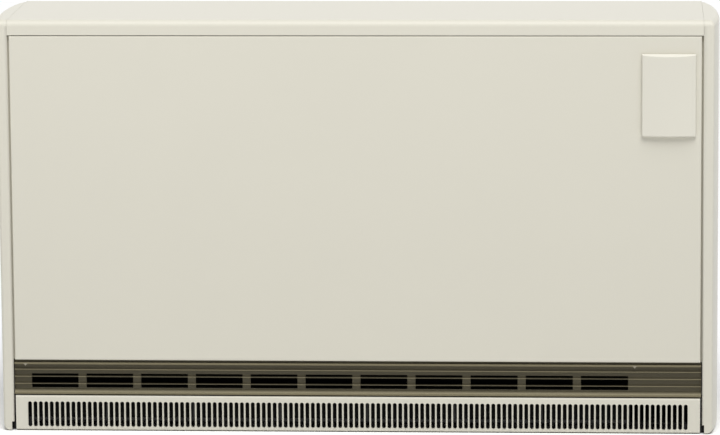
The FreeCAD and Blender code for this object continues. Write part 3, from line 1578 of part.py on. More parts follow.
def control_flap():
    """Bulged flap, hollow behind, with a bevelled top edge and hinge pins near its lower edge."""
    x = (FLAP_LEFT, FLAP_RIGHT)
    z = (FLAP_LOW, FLAP_HIGH)
    sag = "(flap_bulge - flap_depth)"
    radius = f"(((flap_width / 2)^2 + {sag}^2) / (2 * {sag}))"
    axis = (FLAP_MID, f"{FRONT} - flap_bulge + {radius}")
    back = f"({FRONT} - flap_clear)"
    front = f"({FRONT} - 2 * flap_bulge)"
    drum = rod("flap_drum", "z", radius, z, axis)
    block = common("flap_block", drum, box("flap_room", x, (front, back), z))

    def at_front(edge, whole):
        return not near(edge.YMax, whole.YMax)

    def front_upright(edge, whole):
        return near(edge.ZLength, whole.ZLength) and at_front(edge, whole)

    def low_front(edge, whole):
        across = edge.XLength > whole.XLength / 2
        return near(edge.ZMax, whole.ZMin) and across and at_front(edge, whole)

    def low_back(edge, whole):
        return near(edge.ZMax, whole.ZMin) and near(edge.YMin, whole.YMax)

    sides = rounded("flap_sides", block, [(front_upright, size("flap_corner"))])
    edges = [
        (low_front, size("flap_edge")),
        (low_back, size("hinge_radius")),
    ]
    soft = rounded("flap_soft", sides, edges)
    bevel = doc.addObject("Part::Box", "flap_bevel_tool")
    lean = FreeCAD.Rotation(FreeCAD.Vector(1, 0, 0), QUARTER / 2)
    bevel.Placement = FreeCAD.Placement(FreeCAD.Vector(), lean)
    bind(bevel, Length="2 * flap_width", Width="flap_width", Height="flap_width")
    step = "flap_width / 2 * sqrt(0.5)"
    bevel_y = f"{FRONT} - flap_depth + flap_bevel - {step}"
    place(bevel, f"{FLAP_MID} - flap_width", bevel_y, f"{FLAP_HIGH} - {step}")
    room_z = (f"{FLAP_LOW} + flap_wall", f"{FLAP_HIGH} - flap_head")
    hollow = common(
        "flap_hollow",
        rod("flap_hollow_drum", "z", f"{radius} - flap_wall", room_z, axis),
        box("flap_hollow_room", grown(x, "-flap_wall"), (front, FRONT), room_z),
    )
    notch_y = (f"{HINGE_Y} - hinge_radius - ear_clear", FRONT)
    notch_z = (f"{FLAP_LOW} - flap_wall", f"{HINGE_Z} + hinge_radius + flap_wall / 2")
    notch_x = [grown(ear, "hinge_pin / 2") for ear in EARS]
    notches = [box(f"flap_notch_{i}", span, notch_y, notch_z) for i, span in enumerate(notch_x)]
    bevelled = cut("flap_bevelled", soft, bevel)
    open_back = cut("flap_open", bevelled, hollow)
    notched = cut("flap_notched", open_back, *notches)
    left_pin = (f"{FLAP_LEFT} + flap_wall / 2", notch_x[0][1])
    right_pin = (notch_x[1][0], f"{FLAP_RIGHT} - flap_wall / 2")
    pin_x = enumerate((left_pin, right_pin))
    pins = [rod(f"flap_pin_{i}", "x", "hinge_pin", span, HINGE_AT) for i, span in pin_x]
    return fuse("control_flap", notched, *pins)


control_flap = control_flap()


def thermostat_knob():
    """Turned knob with a skirt, a fluted grip and a pointer groove."""
    knob = body("thermostat_knob")
    grip = "(knob_radius - knob_edge)"
    points = [
        ("spindle_radius + running_gap", "0"),
        ("knob_radius", "0"),
        ("knob_radius", "-knob_skirt"),
        (grip, "-knob_skirt"),
        (f"{grip} - knob_edge", "knob_edge - knob_height"),
        (f"{grip} - 2 * knob_edge", "-knob_height"),
        ("0", "-knob_height"),
        ("0", "-spindle_grip"),
        ("spindle_radius + running_gap", "-spindle_grip"),
    ]
    turned(knob, "knob_turned", points)
    flutes = circles(knob, "flute_outline", "XZ_Plane", ["flute_radius"], [(grip, "0")], "knob_skirt")
    flute = feature(knob, "Pocket", "flute", flutes)
    flute.Type = "ThroughAll"
    flute.Reversed = True
    ring_of(knob, "flutes", flute, flutes, "flute_count")
    half = "pointer_width / 2"
    low, high = "pointer_start", "pointer_end"
    corners = [(f"-{half}", low), (half, low), (half, high), (f"-{half}", high)]
    line = outline(knob, "pointer_outline", "XZ_Plane", corners, offset="knob_height")
    feature(knob, "Pocket", "pointer", line, Length="pointer_depth")
    return place(knob, FLAP_MID, f"{RECESS_FLOOR} - knob_float", KNOB_AT[1])


thermostat_knob = thermostat_knob()

SPINDLE_END = f"({RECESS_BACK} + spindle_tail)"
SPINDLE_Y = (f"{RECESS_FLOOR} - knob_float - spindle_grip", SPINDLE_END)
knob_spindle = rod("knob_spindle", "y", "spindle_radius", SPINDLE_Y, KNOB_AT)


def thermostat():
    """Thermostat behind the recess, with the socket for its spindle."""
    half = "thermostat_size / 2"
    x, z = grown((KNOB_AT[0], KNOB_AT[0]), half), grown((KNOB_AT[1], KNOB_AT[1]), half)
    case = box("thermostat_case", x, (RECESS_BACK, f"{RECESS_BACK} + thermostat_depth"), z)
    socket_y = (f"{RECESS_BACK} - knob_float", f"{SPINDLE_END} + knob_float")
    socket = rod("thermostat_socket", "y", "spindle_radius + running_gap", socket_y, KNOB_AT)
    return cut("thermostat", case, socket)


thermostat = thermostat()


def switch_housing():
    """Switch body through the recess floor, with its bezel in front and the rocker's cavity."""
    bezel_x, bezel_z = switch_room("2 * switch_wall")
    body_x, body_z = switch_room("switch_wall")
    cavity_x, cavity_z = switch_room("0")
    bezel_y = (f"{RECESS_FLOOR} - switch_wall", RECESS_FLOOR)
    whole = fuse(
        "switch_whole",
        box("switch_bezel", bezel_x, bezel_y, bezel_z),
        box("switch_body", body_x, (RECESS_FLOOR, f"{RECESS_FLOOR} + switch_depth"), body_z),
    )
    cavity_y = (f"{RECESS_FLOOR} - 2 * switch_wall", f"{RECESS_FLOOR} + cavity_depth")
    cavity = box("switch_cavity", cavity_x, cavity_y, cavity_z)
    pin_x = grown(cavity_x, "rocker_pin_reach")
    pivot = rod("switch_pivot", "x", "rocker_pin + running_gap", pin_x, (PIVOT_Y, SWITCH_Z))
    return cut("switch_housing", cut("switch_hollow", whole, cavity), pivot)


switch_housing = switch_housing()


def rocker_switch():
    """Rocker with two sloped faces and pivot pins, resting with its upper end out."""
    rocker = body("rocker_switch")
    face = "-rocker_root - rocker_proud"
    points = [
        ("rocker_root", "-rocker_half + rocker_corner"),
        ("rocker_root", "rocker_half - rocker_corner"),
        ("-rocker_corner", "rocker_half"),
        (f"{face} + rocker_corner", "rocker_half"),
        (face, "rocker_half - rocker_corner"),
        (f"{face} + rocker_dip", "0"),
        (face, "rocker_corner - rocker_half"),
        (f"{face} + rocker_corner", "-rocker_half"),
        ("-rocker_corner", "-rocker_half"),
    ]
    section = outline(rocker, "rocker_section", "YZ_Plane", points)
    bar = feature(rocker, "Pad", "rocker_bar", section, Length="rocker_width")
    bar.Midplane = True
    pin = circles(rocker, "rocker_pin_outline", "YZ_Plane", ["rocker_pin"], [("0", "0")])
    pins = feature(rocker, "Pad", "rocker_pins", pin, Length="rocker_width + 2 * rocker_pin_reach")
    pins.Midplane = True
    tilt = FreeCAD.Rotation(FreeCAD.Vector(1, 0, 0), size("rocker_tilt"))
    rocker.Placement = FreeCAD.Placement(FreeCAD.Vector(), tilt)
    return place(rocker, SWITCH_X, PIVOT_Y, SWITCH_Z)


rocker_switch = rocker_switch()


def charge_lamp():
    """Domed lamp lens with a stem through the recess floor."""
    lens = body("charge_lamp")
    points = [
        ("0", "lamp_stem"),
        ("lamp_radius", "lamp_stem"),
        ("lamp_radius", "0"),
        ("lamp_radius + lamp_rim", "0"),
        ("lamp_radius + lamp_rim", "-lamp_rim"),
        ("lamp_radius", "-lamp_rim"),
        ("lamp_shoulder", "-lamp_shoulder_height"),
        ("0", "-lamp_dome"),
    ]
    turned(lens, "lamp_turned", points)
    return place(lens, LAMP_X, RECESS_FLOOR, SWITCH_Z)


charge_lamp = charge_lamp()


# Checks and files

PIECES = [
    left_side_panel,
    right_side_panel,
    top_cover,
    front_panel,
    plinth_grille,
    outlet_grille,
    left_carcass_wall,
    right_carcass_wall,
    rear_wall,
    base_tray,
    feet,
    wall_brackets,
    bracket_screws,
    cable_gland,
    core_floor,
    core_front_cover,
    core_top_cover,
    floor_insulation,
    front_insulation,
    rear_insulation,
    left_insulation,
    right_insulation,
    top_insulation,
    *brick_layers,
    heating_elements,
    element_bushes,
    fan_end_plates,
    fan_bearings,
    fan_shaft,
    *impellers,
    fan_scrolls,
    fan_tongues,
    motor_stator,
    motor_coil,
    motor_rotor,
    motor_bracket,
    outlet_duct,
    damper_bushes,
    damper_shaft,
    damper_blade,
    damper_actuator,
    filter_frame,
    filter_mesh,
    bay_partition,
    core_sensor,
    safety_limiter,
    charge_controller,
    terminal_block,
    control_recess,
    control_flap,
    thermostat_knob,
    knob_spindle,
    thermostat,
    switch_housing,
    rocker_switch,
    charge_lamp,
]

doc.recompute()
failed = [item.Name for item in doc.Objects if {"Invalid", "Error"} & set(item.State)]
if failed:
    raise RuntimeError(f"these objects failed: {failed}")
for piece in PIECES:
    if piece.Shape.isNull() or not piece.Shape.isValid() or not piece.Shape.Solids:
        raise RuntimeError(f"{piece.Label} has no valid solid")

os.makedirs("parts", exist_ok=True)
for piece in PIECES:
    piece.Shape.exportStep(f"parts/{piece.Label}.step")
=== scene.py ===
import json
import math

import bmesh
import bpy
from bpy.props import FloatProperty, FloatVectorProperty, IntProperty, PointerProperty
from bpy.types import Operator, Panel, PropertyGroup
from mathutils import Matrix, Vector


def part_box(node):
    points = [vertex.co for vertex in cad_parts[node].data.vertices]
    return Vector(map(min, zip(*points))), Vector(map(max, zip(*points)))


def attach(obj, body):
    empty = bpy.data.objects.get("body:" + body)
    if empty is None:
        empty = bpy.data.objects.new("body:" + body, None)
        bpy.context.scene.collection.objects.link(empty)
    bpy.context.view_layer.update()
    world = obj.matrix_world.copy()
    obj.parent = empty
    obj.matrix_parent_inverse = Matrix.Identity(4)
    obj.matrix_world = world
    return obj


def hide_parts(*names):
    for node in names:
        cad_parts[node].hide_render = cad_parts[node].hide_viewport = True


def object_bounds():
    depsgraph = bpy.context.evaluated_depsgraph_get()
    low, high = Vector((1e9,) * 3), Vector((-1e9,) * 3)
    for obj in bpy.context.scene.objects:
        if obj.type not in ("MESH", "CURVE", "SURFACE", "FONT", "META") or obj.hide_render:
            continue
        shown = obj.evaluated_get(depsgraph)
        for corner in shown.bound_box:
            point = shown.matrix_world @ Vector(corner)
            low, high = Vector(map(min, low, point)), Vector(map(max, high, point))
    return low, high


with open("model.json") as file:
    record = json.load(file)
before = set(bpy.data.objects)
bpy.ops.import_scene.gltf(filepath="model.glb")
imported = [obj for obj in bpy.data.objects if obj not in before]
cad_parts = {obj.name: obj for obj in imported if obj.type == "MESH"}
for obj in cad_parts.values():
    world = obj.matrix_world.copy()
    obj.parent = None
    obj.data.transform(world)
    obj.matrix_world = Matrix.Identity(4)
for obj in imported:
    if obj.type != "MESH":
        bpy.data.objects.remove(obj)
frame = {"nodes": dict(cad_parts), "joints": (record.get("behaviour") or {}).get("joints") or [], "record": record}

bl_info = {
    "name": "Storage heater",
    "version": (1, 0, 0),
    "blender": (4, 5, 0),
    "location": "View3D > Sidebar > Heater",
    "description": "Finishes, small pieces and stage of a fan-assisted storage heater",
    "category": "Object",
}

MM = 0.001
CAD_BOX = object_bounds()

# Sides of the heater, along X and along Y
LEFT, RIGHT = -1, 1
FRONT, REAR = -1, 1
FORWARD = Vector((0.0, FRONT, 0.0))

# Rolled-in foot of the side panels: its arc's steps and the angle at which it ends
MERGE = 0.01 * MM
SHARP = math.radians(30)
ROLL_STEPS = 6
ROLL_END = math.radians(15)

# Corners of a slot rim, and the size of a triangle whose corners lie on a circle with a radius of 1
SLOT_CORNERS = 12
TRIANGLE_WIDTH = math.sqrt(3)
TRIANGLE_HEIGHT = 1.5

# Rear screws: rows as shares of the wall's height, the head's forms as shares of its radius
SCREW_ROWS = (0.05, 0.28, 0.5, 0.72, 0.95)
SCREW_HEIGHT = 0.5
SCREW_ROUND = 0.3
SOCKET_RIM = 0.22
SOCKET_WALL = 0.05
SOCKET_DEPTH = 0.22

# How deep the bumps of the finishes are
COAT_RELIEF = 0.2 * MM
METAL_RELIEF = 0.1 * MM
BODY_RELIEF = 1.0 * MM

# Stage, in metres, and the camera's sensor, in mm
FLOOR_SIDE = 40.0
VIEW_END = 200.0
SENSOR_WIDTH = 36.0


# Settings

def length(name, description, default):
    """A size in metres that a user may change."""
    return FloatProperty(
        name=name, description=description, default=default, min=0.0, unit="LENGTH", precision=5,
    )


def place_across(name, description, default):
    """A place along X in metres, below zero when it is left of the middle."""
    return FloatProperty(
        name=name, description=description, default=default, unit="LENGTH", precision=5,
    )


def count(name, description, default):
    """A number of like things."""
    return IntProperty(name=name, description=description, default=default, min=1)


def colour(name, description, default):
    """A linear colour that a user may change."""
    return FloatVectorProperty(
        name=name, description=description, default=default, size=3, min=0.0, max=1.0, subtype="COLOR",
    )


def share(name, description, default):
    """A share from 0 to 1."""
    return FloatProperty(
        name=name, description=description, default=default, min=0.0, max=1.0, subtype="FACTOR",
    )


def angle(name, description, degrees):
    """An angle, given in degrees."""
    return FloatProperty(
        name=name, description=description, default=math.radians(degrees), subtype="ANGLE",
    )


class HeaterSizes(PropertyGroup):
    """Sizes of the side panels' foot, the outlet's openings and the small pieces."""

    cheek_bulge: length("Side bulge", "How far a side panel bulges past its seam", 25 * MM)
    cheek_strip: length("Side strip", "Width of a side panel's flat front strip", 15.5 * MM)
    cheek_flat: length("Side flat", "Width beside the seam that stays straight down to the foot", 5 * MM)
    foot_roll: length("Foot roll", "Radius of the side panels' rolled-in foot", 7.5 * MM)

    slot_count: count("Slots", "Number of slots in the plinth", 121)
    slot_pitch: length("Slot pitch", "Distance from slot to slot", 8.5 * MM)
    slot_width: length("Slot width", "Width of a plinth slot", 6 * MM)
    slot_length: length("Slot length", "Length of a plinth slot", 40 * MM)
    slot_middle: length("Slot height", "Height of the slots' middle above the floor", 26.6 * MM)
    rim_width: length("Rim width", "Width of the pressed rim round a slot", 0.8 * MM)
    rim_height: length("Rim height", "How far the pressed rim stands out", 0.45 * MM)

    rib_root: length("Rib root", "Distance of the ribs' root from the outlet's rear", 2 * MM)
    opening_left: place_across("First opening", "Left edge of the outlet's first opening", -507 * MM)
    opening_pitch: length("Opening pitch", "Distance from opening to opening", 85.5 * MM)
    opening_width: length("Opening width", "Width of an opening of the outlet", 73 * MM)
    opening_low: length("Opening foot", "Height of the openings' lower edge above the floor", 67.6 * MM)
    opening_high: length("Opening head", "Height of the openings' upper edge above the floor", 89.8 * MM)
    opening_count: count("Openings", "Number of openings of the outlet", 11)

    mark_left: place_across("Left clip mark", "Place of the left arrow mark on the outlet", -516 * MM)
    mark_right: place_across("Right clip mark", "Place of the right arrow mark on the outlet", 431 * MM)
    mark_drop: length("Clip mark drop", "Distance of the arrow marks from the outlet's top", 6.4 * MM)
    mark_sink: length("Clip mark sink", "Distance of the arrow marks' root from the outlet's rear", 1 * MM)
    mark_width: length("Clip mark width", "Width of the arrow marks at the outlet's clips", 6.5 * MM)
    mark_height: length("Clip mark height", "Height of the arrow marks at the outlet's clips", 4.2 * MM)
    mark_round: length("Clip mark edge", "Rounding of the arrow marks' edges", 0.4 * MM)

    dial_numbers: count("Dial numbers", "How many numbers the dial has", 6)
    dial_radius: length("Dial radius", "Radius of the ring of numbers round the knob", 26 * MM)
    digit_height: length("Digit height", "Height of the numbers of the dial", 5.2 * MM)
    tick_gap: length("Tick gap", "Distance of the ticks' middle from the knob", 2.2 * MM)
    tick_width: length("Tick width", "Width of the dial's ticks", 0.45 * MM)
    tick_long: length("Long tick", "Length of the ticks at the numbers", 1.9 * MM)
    tick_short: length("Short tick", "Length of the ticks between the numbers", 1.1 * MM)
    print_height: length("Print height", "Thickness of the printed marks", 0.12 * MM)

    pointer_width: length("Pointer width", "Width of the knob's pointer", 0.9 * MM)
    pointer_depth: length("Pointer depth", "Thickness of the knob's pointer", 0.8 * MM)
    pointer_length: length("Pointer length", "Length of the knob's pointer", 7.6 * MM)
    pointer_round: length("Pointer edge", "Rounding of the pointer's edges", 0.15 * MM)
    pointer_sink: length("Pointer sink", "Depth of the pointer's middle under the knob's face", 0.5 * MM)
    pointer_rise: length("Pointer rise", "Distance of the pointer's middle from the knob's", 10.25 * MM)

    line_width: length("Switch line width", "Width of the rocker's line", 0.7 * MM)
    line_length: length("Switch line length", "Length of the rocker's line", 4.2 * MM)
    ring_radius: length("Switch ring", "Outer radius of the rocker's ring", 2.1 * MM)
    ring_width: length("Switch ring width", "Width of the rocker's ring", 0.6 * MM)
    ring_corners: count("Switch ring corners", "Number of corners of the rocker's ring", 24)
    switch_rise: length("Switch mark rise", "Distance of line and ring from the rocker's middle", 5.4 * MM)

    screw_radius: length("Screw head", "Radius of the screw heads at the rear", 4 * MM)
    screw_corners: count("Screw corners", "Number of corners of a screw head", 20)
    screw_inset: length("Screw inset", "Distance of the rear screws from the rear wall's sides", 18 * MM)


class HeaterColours(PropertyGroup):
    """Colours of the finishes."""

    enamel: colour("Enamel", "Cream stoved enamel of the casing", (0.712, 0.688, 0.594))
    # Painted shade: the enamel is darkened towards the floor, standing in for the light falling off down the
    # front.
    floor_shade: share("Floor shade", "How much darker the enamel is at the floor", 0.16)
    bronze: colour("Outlet paint", "Brown paint of the outlet grille", (0.084, 0.073, 0.044))
    # Painted light: the ribs' tips are paler for the light they catch, and their roots darker for the shade
    # between them.
    rib_tip_light: FloatProperty(
        name="Rib tip light", description="How much paler the tips of the outlet's ribs are", default=2.1,
    )
    # Painted shade: the outlet's paint is darkened in front of its openings, where the dark inside shows round the
    # fins.
    opening_shade: share("Opening shade", "How much the outlet's paint is darkened at its openings", 0.5)
    cream_plastic: colour("Cream plastic", "Flap and recess of the controls", (0.712, 0.690, 0.602))
    dark_plastic: colour("Dark plastic", "Feet, gland and switch", (0.013, 0.013, 0.013))
    control_grey: colour("Knob plastic", "Knob and terminal block", (0.24, 0.23, 0.205))
    zinc: colour("Zinc sheet", "Galvanised sheet of the carcass", (0.52, 0.53, 0.54))
    steel: colour("Bright steel", "Plated shafts and screws", (0.62, 0.62, 0.63))
    board: colour("Insulation", "Pressed mineral board", (0.66, 0.60, 0.46))
    brick: colour("Storage brick", "Fired iron oxide", (0.15, 0.085, 0.055))
    sheath: colour("Element sheath", "Heat tinted tube", (0.20, 0.18, 0.16))
    ceramic: colour("Ceramic", "Unglazed bushes", (0.76, 0.73, 0.66))
    aluminium: colour("Aluminium", "Blades of the fan", (0.70, 0.71, 0.72))
    bearing: colour("Sintered bronze", "Bearings", (0.45, 0.30, 0.14))
    copper: colour("Winding", "Enamelled copper wire", (0.48, 0.20, 0.09))
    # Painted shade: the lint filter is near black, so that the plinth's slots read as dark shade.
    gauze_shade: colour("Filter gauze", "Lint filter", (0.006, 0.006, 0.006))
    # Painted shade: the sheets behind the grilles are near black, so that the openings and slots read as dark
    # shade.
    black_for_shade: colour("Black paint for shade", "Sheets behind the grilles", (0.012, 0.012, 0.011))
    lens: colour("Lamp lens", "Red lens of the charge lamp", (0.58, 0.03, 0.02))
    print_dark: colour("Dark print", "Numbers of the dial", (0.05, 0.05, 0.048))
    print_light: colour("Light print", "Pointer and switch marks", (0.80, 0.79, 0.75))
    print_worn: colour("Worn print", "Arrow marks on the outlet", (0.27, 0.247, 0.185))


class HeaterStage(PropertyGroup):
    """Floor, light and camera."""

    floor: colour("Floor", "Colour of the floor", (0.985, 0.985, 0.985))
    sky: FloatProperty(name="Sky", description="Strength of the even light", default=0.20, min=0.0)
    key: FloatProperty(name="Key", description="Strength of the soft main light", default=2.90, min=0.0)
    key_from: FloatVectorProperty(
        name="Key from", description="Where the main light comes from",
        default=(0.09, -0.46, 0.885), subtype="DIRECTION",
    )
    key_spread: angle("Key spread", "Angle that the main light covers", 42)
    camera_at: FloatVectorProperty(
        name="Camera", description="Place of the camera",
        default=(0.4214, -7.0, 1.5219), subtype="TRANSLATION",
    )
    pitch: angle("Pitch", "Tilt of the camera", -9.7339)
    yaw: angle("Yaw", "Turn of the camera", 3.4395)
    roll: angle("Roll", "Roll of the camera", -0.4172)
    lens: FloatProperty(
        name="Lens", description="Focal length in mm on a 36 mm sensor", default=226.97, min=1.0,
    )


# Shader helpers

def node(tree, kind, inputs=None, **settings):
    """Add a shader node with its settings, and set or link its inputs."""
    made = tree.nodes.new(kind)
    for key, value in settings.items():
        setattr(made, key, value)
    for key, value in (inputs or {}).items():
        if isinstance(value, bpy.types.NodeSocket):
            tree.links.new(value, made.inputs[key])
        else:
            made.inputs[key].default_value = value
    return made


def maths(tree, operation, first, second):
    """A Math node's result from two values or sockets."""
    return node(tree, "ShaderNodeMath", {0: first, 1: second}, operation=operation).outputs[0]


def spread(tree, mask, low, high):
    """Map a mask from 0..1 to low..high."""
    made = node(tree, "ShaderNodeMapRange", {"Value": mask, "To Min": low, "To Max": high})
    return made.outputs["Result"]


def about(tree, mask, middle, less, more):
    """A value that a mask moves from less below the middle to more above it."""
    low = maths(tree, "SUBTRACT", middle, less)
    high = maths(tree, "ADD", middle, more)
    return spread(tree, mask, low, high)


def noise(tree, place, scale, detail):
    """Fractal noise at a place."""
    made = node(tree, "ShaderNodeTexNoise", {"Vector": place, "Scale": scale, "Detail": detail})
    return made.outputs["Fac"]


def toned(tree, tint, value):
    """Multiply a colour by a grey value."""
    made = node(tree, "ShaderNodeVectorMath", {0: tint, 1: value}, operation="MULTIPLY")
    return made.outputs[0]


def object_place(tree):
    """The object's own coordinates."""
    return node(tree, "ShaderNodeTexCoord").outputs["Object"]


def along_axes(tree):
    """The object's own coordinates, one by one."""
    return node(tree, "ShaderNodeSeparateXYZ", {"Vector": object_place(tree)}).outputs


def effect(name, inputs):
    """Start a group that puts out colour, roughness and height; give its tree, inputs and outputs."""
    tree = bpy.data.node_groups.new(name, "ShaderNodeTree")
    kinds = {"Color": "NodeSocketColor"}
    for way, labels in (("INPUT", inputs), ("OUTPUT", ["Color", "Roughness", "Height"])):
        for label in labels:
            tree.interface.new_socket(
                label, in_out=way, socket_type=kinds.get(label, "NodeSocketFloat"),
            )
    return tree, tree.nodes.new("NodeGroupInput").outputs, tree.nodes.new("NodeGroupOutput").inputs


# Effects

def fine_grain():
    """Fine grain of a coat or moulding, with a slow drift of its tone and painted shade that darkens it towards
    the floor.
    """
    tree, given, out = effect(
        "fine grain", ["Color", "Grain", "Tone", "Floor shade", "Roughness", "Roughness change"],
    )
    place = object_place(tree)
    grain = noise(tree, place, scale=given["Grain"], detail=2.0)
    drift = noise(tree, place, scale=5.0, detail=3.0)
    drifted = toned(tree, given["Color"], about(tree, drift, 1.0, given["Tone"], given["Tone"]))
    # Painted shade: the colour darkens from the top down to the floor.
    shade_at_floor = maths(tree, "SUBTRACT", 1.0, given["Floor shade"])
    rising = {"Value": along_axes(tree)["Z"], "From Max": CAD_BOX[1].z, "To Min": shade_at_floor, "To Max": 1.0}
    unshaded_share = node(tree, "ShaderNodeMapRange", rising).outputs["Result"]
    tree.links.new(toned(tree, drifted, unshaded_share), out["Color"])
    mixed = maths(tree, "MULTIPLY", maths(tree, "ADD", grain, drift), 0.5)
    change = given["Roughness change"]
    tree.links.new(about(tree, mixed, given["Roughness"], change, change), out["Roughness"])
    tree.links.new(grain, out["Height"])
    return tree


def ribs_with_painted_light(coat):
    """A coat with painted light: paler from its ribs' root to their tips, a painted highlight on the tips and
    painted shade at the roots, and darkened by painted shade at a row of openings.
    """
    passed_on = ["Grain", "Tone", "Roughness", "Roughness change"]
    openings = ["Left", "Right", "Low", "High", "Pitch", "Width", "Opening shade"]
    tree, given, out = effect("ribs with painted light", ["Color", "Root", "Tip", "Lift", *openings, *passed_on])
    place = along_axes(tree)
    along = maths(tree, "SUBTRACT", place["X"], given["Left"])
    in_pitch = maths(tree, "FLOORED_MODULO", along, given["Pitch"])
    # Painted shade: darker in front of the openings.
    shaded_openings = given["Opening shade"]
    for mask in (
        maths(tree, "LESS_THAN", in_pitch, given["Width"]),
        maths(tree, "GREATER_THAN", along, 0.0),
        maths(tree, "LESS_THAN", place["X"], given["Right"]),
        maths(tree, "GREATER_THAN", place["Z"], given["Low"]),
        maths(tree, "LESS_THAN", place["Z"], given["High"]),
    ):
        shaded_openings = maths(tree, "MULTIPLY", shaded_openings, mask)
    unshaded_share = maths(tree, "SUBTRACT", 1.0, shaded_openings)
    # Painted light: paler from the root to the tips, a painted highlight on the tips and painted shade at the
    # roots.
    outwards = {"Value": place["Y"], "From Min": given["Root"], "From Max": given["Tip"]}
    outwards.update({"To Min": 1.0, "To Max": given["Lift"]})
    tip_light = node(tree, "ShaderNodeMapRange", outwards).outputs["Result"]
    coated = node(tree, "ShaderNodeGroup", node_tree=coat)
    for name in passed_on:
        tree.links.new(given[name], coated.inputs[name])
    painted = toned(tree, toned(tree, given["Color"], tip_light), unshaded_share)
    tree.links.new(painted, coated.inputs["Color"])
    for name in ("Color", "Roughness", "Height"):
        tree.links.new(coated.outputs[name], out[name])
    return tree


def zinc_spangle():
    """Crystals of a galvanised sheet."""
    tree, given, out = effect("zinc spangle", ["Color", "Scale", "Contrast", "Roughness"])
    place = object_place(tree)
    waves = node(tree, "ShaderNodeTexNoise", {"Vector": place, "Scale": 40.0, "Detail": 1.0})
    shift = node(
        tree, "ShaderNodeVectorMath", {0: waves.outputs["Color"], "Scale": 0.02}, operation="SCALE",
    )
    moved = node(tree, "ShaderNodeVectorMath", {0: place, 1: shift.outputs[0]}, operation="ADD")
    cells = node(tree, "ShaderNodeTexVoronoi", {"Vector": moved.outputs[0], "Scale": given["Scale"]})
    crystal = node(tree, "ShaderNodeSeparateColor", {"Color": cells.outputs["Color"]}).outputs["Red"]
    tone = about(tree, crystal, 1.0, less=given["Contrast"], more=0.0)
    tree.links.new(toned(tree, given["Color"], tone), out["Color"])
    tree.links.new(about(tree, crystal, given["Roughness"], less=0.08, more=0.10), out["Roughness"])
    tree.links.new(noise(tree, place, scale=700.0, detail=2.0), out["Height"])
    return tree


def drawn_lines():
    """Fine lines of drawn or turned metal, along X."""
    tree, given, out = effect("drawn lines", ["Color", "Contrast", "Roughness"])
    drawn_out = {"Vector": object_place(tree), "Scale": (12.0, 900.0, 900.0)}
    lines = noise(tree, node(tree, "ShaderNodeMapping", drawn_out).outputs[0], scale=1.0, detail=3.0)
    tone = about(tree, lines, 1.0, less=given["Contrast"], more=0.0)
    tree.links.new(toned(tree, given["Color"], tone), out["Color"])
    tree.links.new(about(tree, lines, given["Roughness"], less=0.06, more=0.10), out["Roughness"])
    tree.links.new(lines, out["Height"])
    return tree


def coarse_body():
    """Speckled, pitted body of a fired brick, a board or a sintered metal."""
    tree, given, out = effect("coarse body", ["Color", "Scale", "Contrast", "Roughness"])
    place = object_place(tree)
    speckle = noise(tree, place, scale=given["Scale"], detail=6.0)
    blotch = noise(tree, place, scale=14.0, detail=3.0)
    pits = node(tree, "ShaderNodeTexVoronoi", {"Vector": place, "Scale": given["Scale"]})
    tint = given["Color"]
    for mask in (speckle, blotch):
        tint = toned(tree, tint, about(tree, mask, 1.0, given["Contrast"], given["Contrast"]))
    tree.links.new(tint, out["Color"])
    tree.links.new(about(tree, speckle, given["Roughness"], less=0.08, more=0.0), out["Roughness"])
    tree.links.new(maths(tree, "ADD", speckle, pits.outputs["Distance"]), out["Height"])
    return tree


# Finishes

def finish(name, group, values, tint, bump, relief, **surface):
    """A material: one Principled BSDF fed by an effect, with a bump from the effect's height."""
    material = bpy.data.materials.get(name) or bpy.data.materials.new(name)
    material.use_nodes = True
    tree = material.node_tree
    tree.nodes.clear()
    shader = node(tree, "ShaderNodeBsdfPrincipled")
    node(tree, "ShaderNodeOutputMaterial", {"Surface": shader.outputs["BSDF"]})
    shaped = node(tree, "ShaderNodeGroup", node_tree=group)
    shaped.inputs["Color"].default_value = (*tint, 1.0)
    for key, value in values.items():
        shaped.inputs[key].default_value = value
    tree.links.new(shaped.outputs["Color"], shader.inputs["Base Color"])
    tree.links.new(shaped.outputs["Roughness"], shader.inputs["Roughness"])
    bumps = {"Height": shaped.outputs["Height"], "Strength": bump, "Distance": relief}
    tree.links.new(node(tree, "ShaderNodeBump", bumps).outputs["Normal"], shader.inputs["Normal"])
    for key, value in surface.items():
        shader.inputs[key.replace("_", " ")].default_value = value
    material.diffuse_color = (*tint, 1.0)
    return material


def outlet_values(tints, sizes):
    """Where the outlet's ribs and openings are, and what its coat is like."""
    low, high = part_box("outlet_grille")
    return {
        "Root": high.y - sizes.rib_root,
        "Tip": low.y,
        "Lift": tints.rib_tip_light,
        "Left": sizes.opening_left,
        "Right": sizes.opening_left + sizes.opening_count * sizes.opening_pitch,
        "Low": sizes.opening_low,
        "High": sizes.opening_high,
        "Pitch": sizes.opening_pitch,
        "Width": sizes.opening_width,
        "Opening shade": tints.opening_shade,
        "Grain": 1500.0,
        "Tone": 0.05,
        "Roughness": 0.40,
        "Roughness change": 0.05,
    }


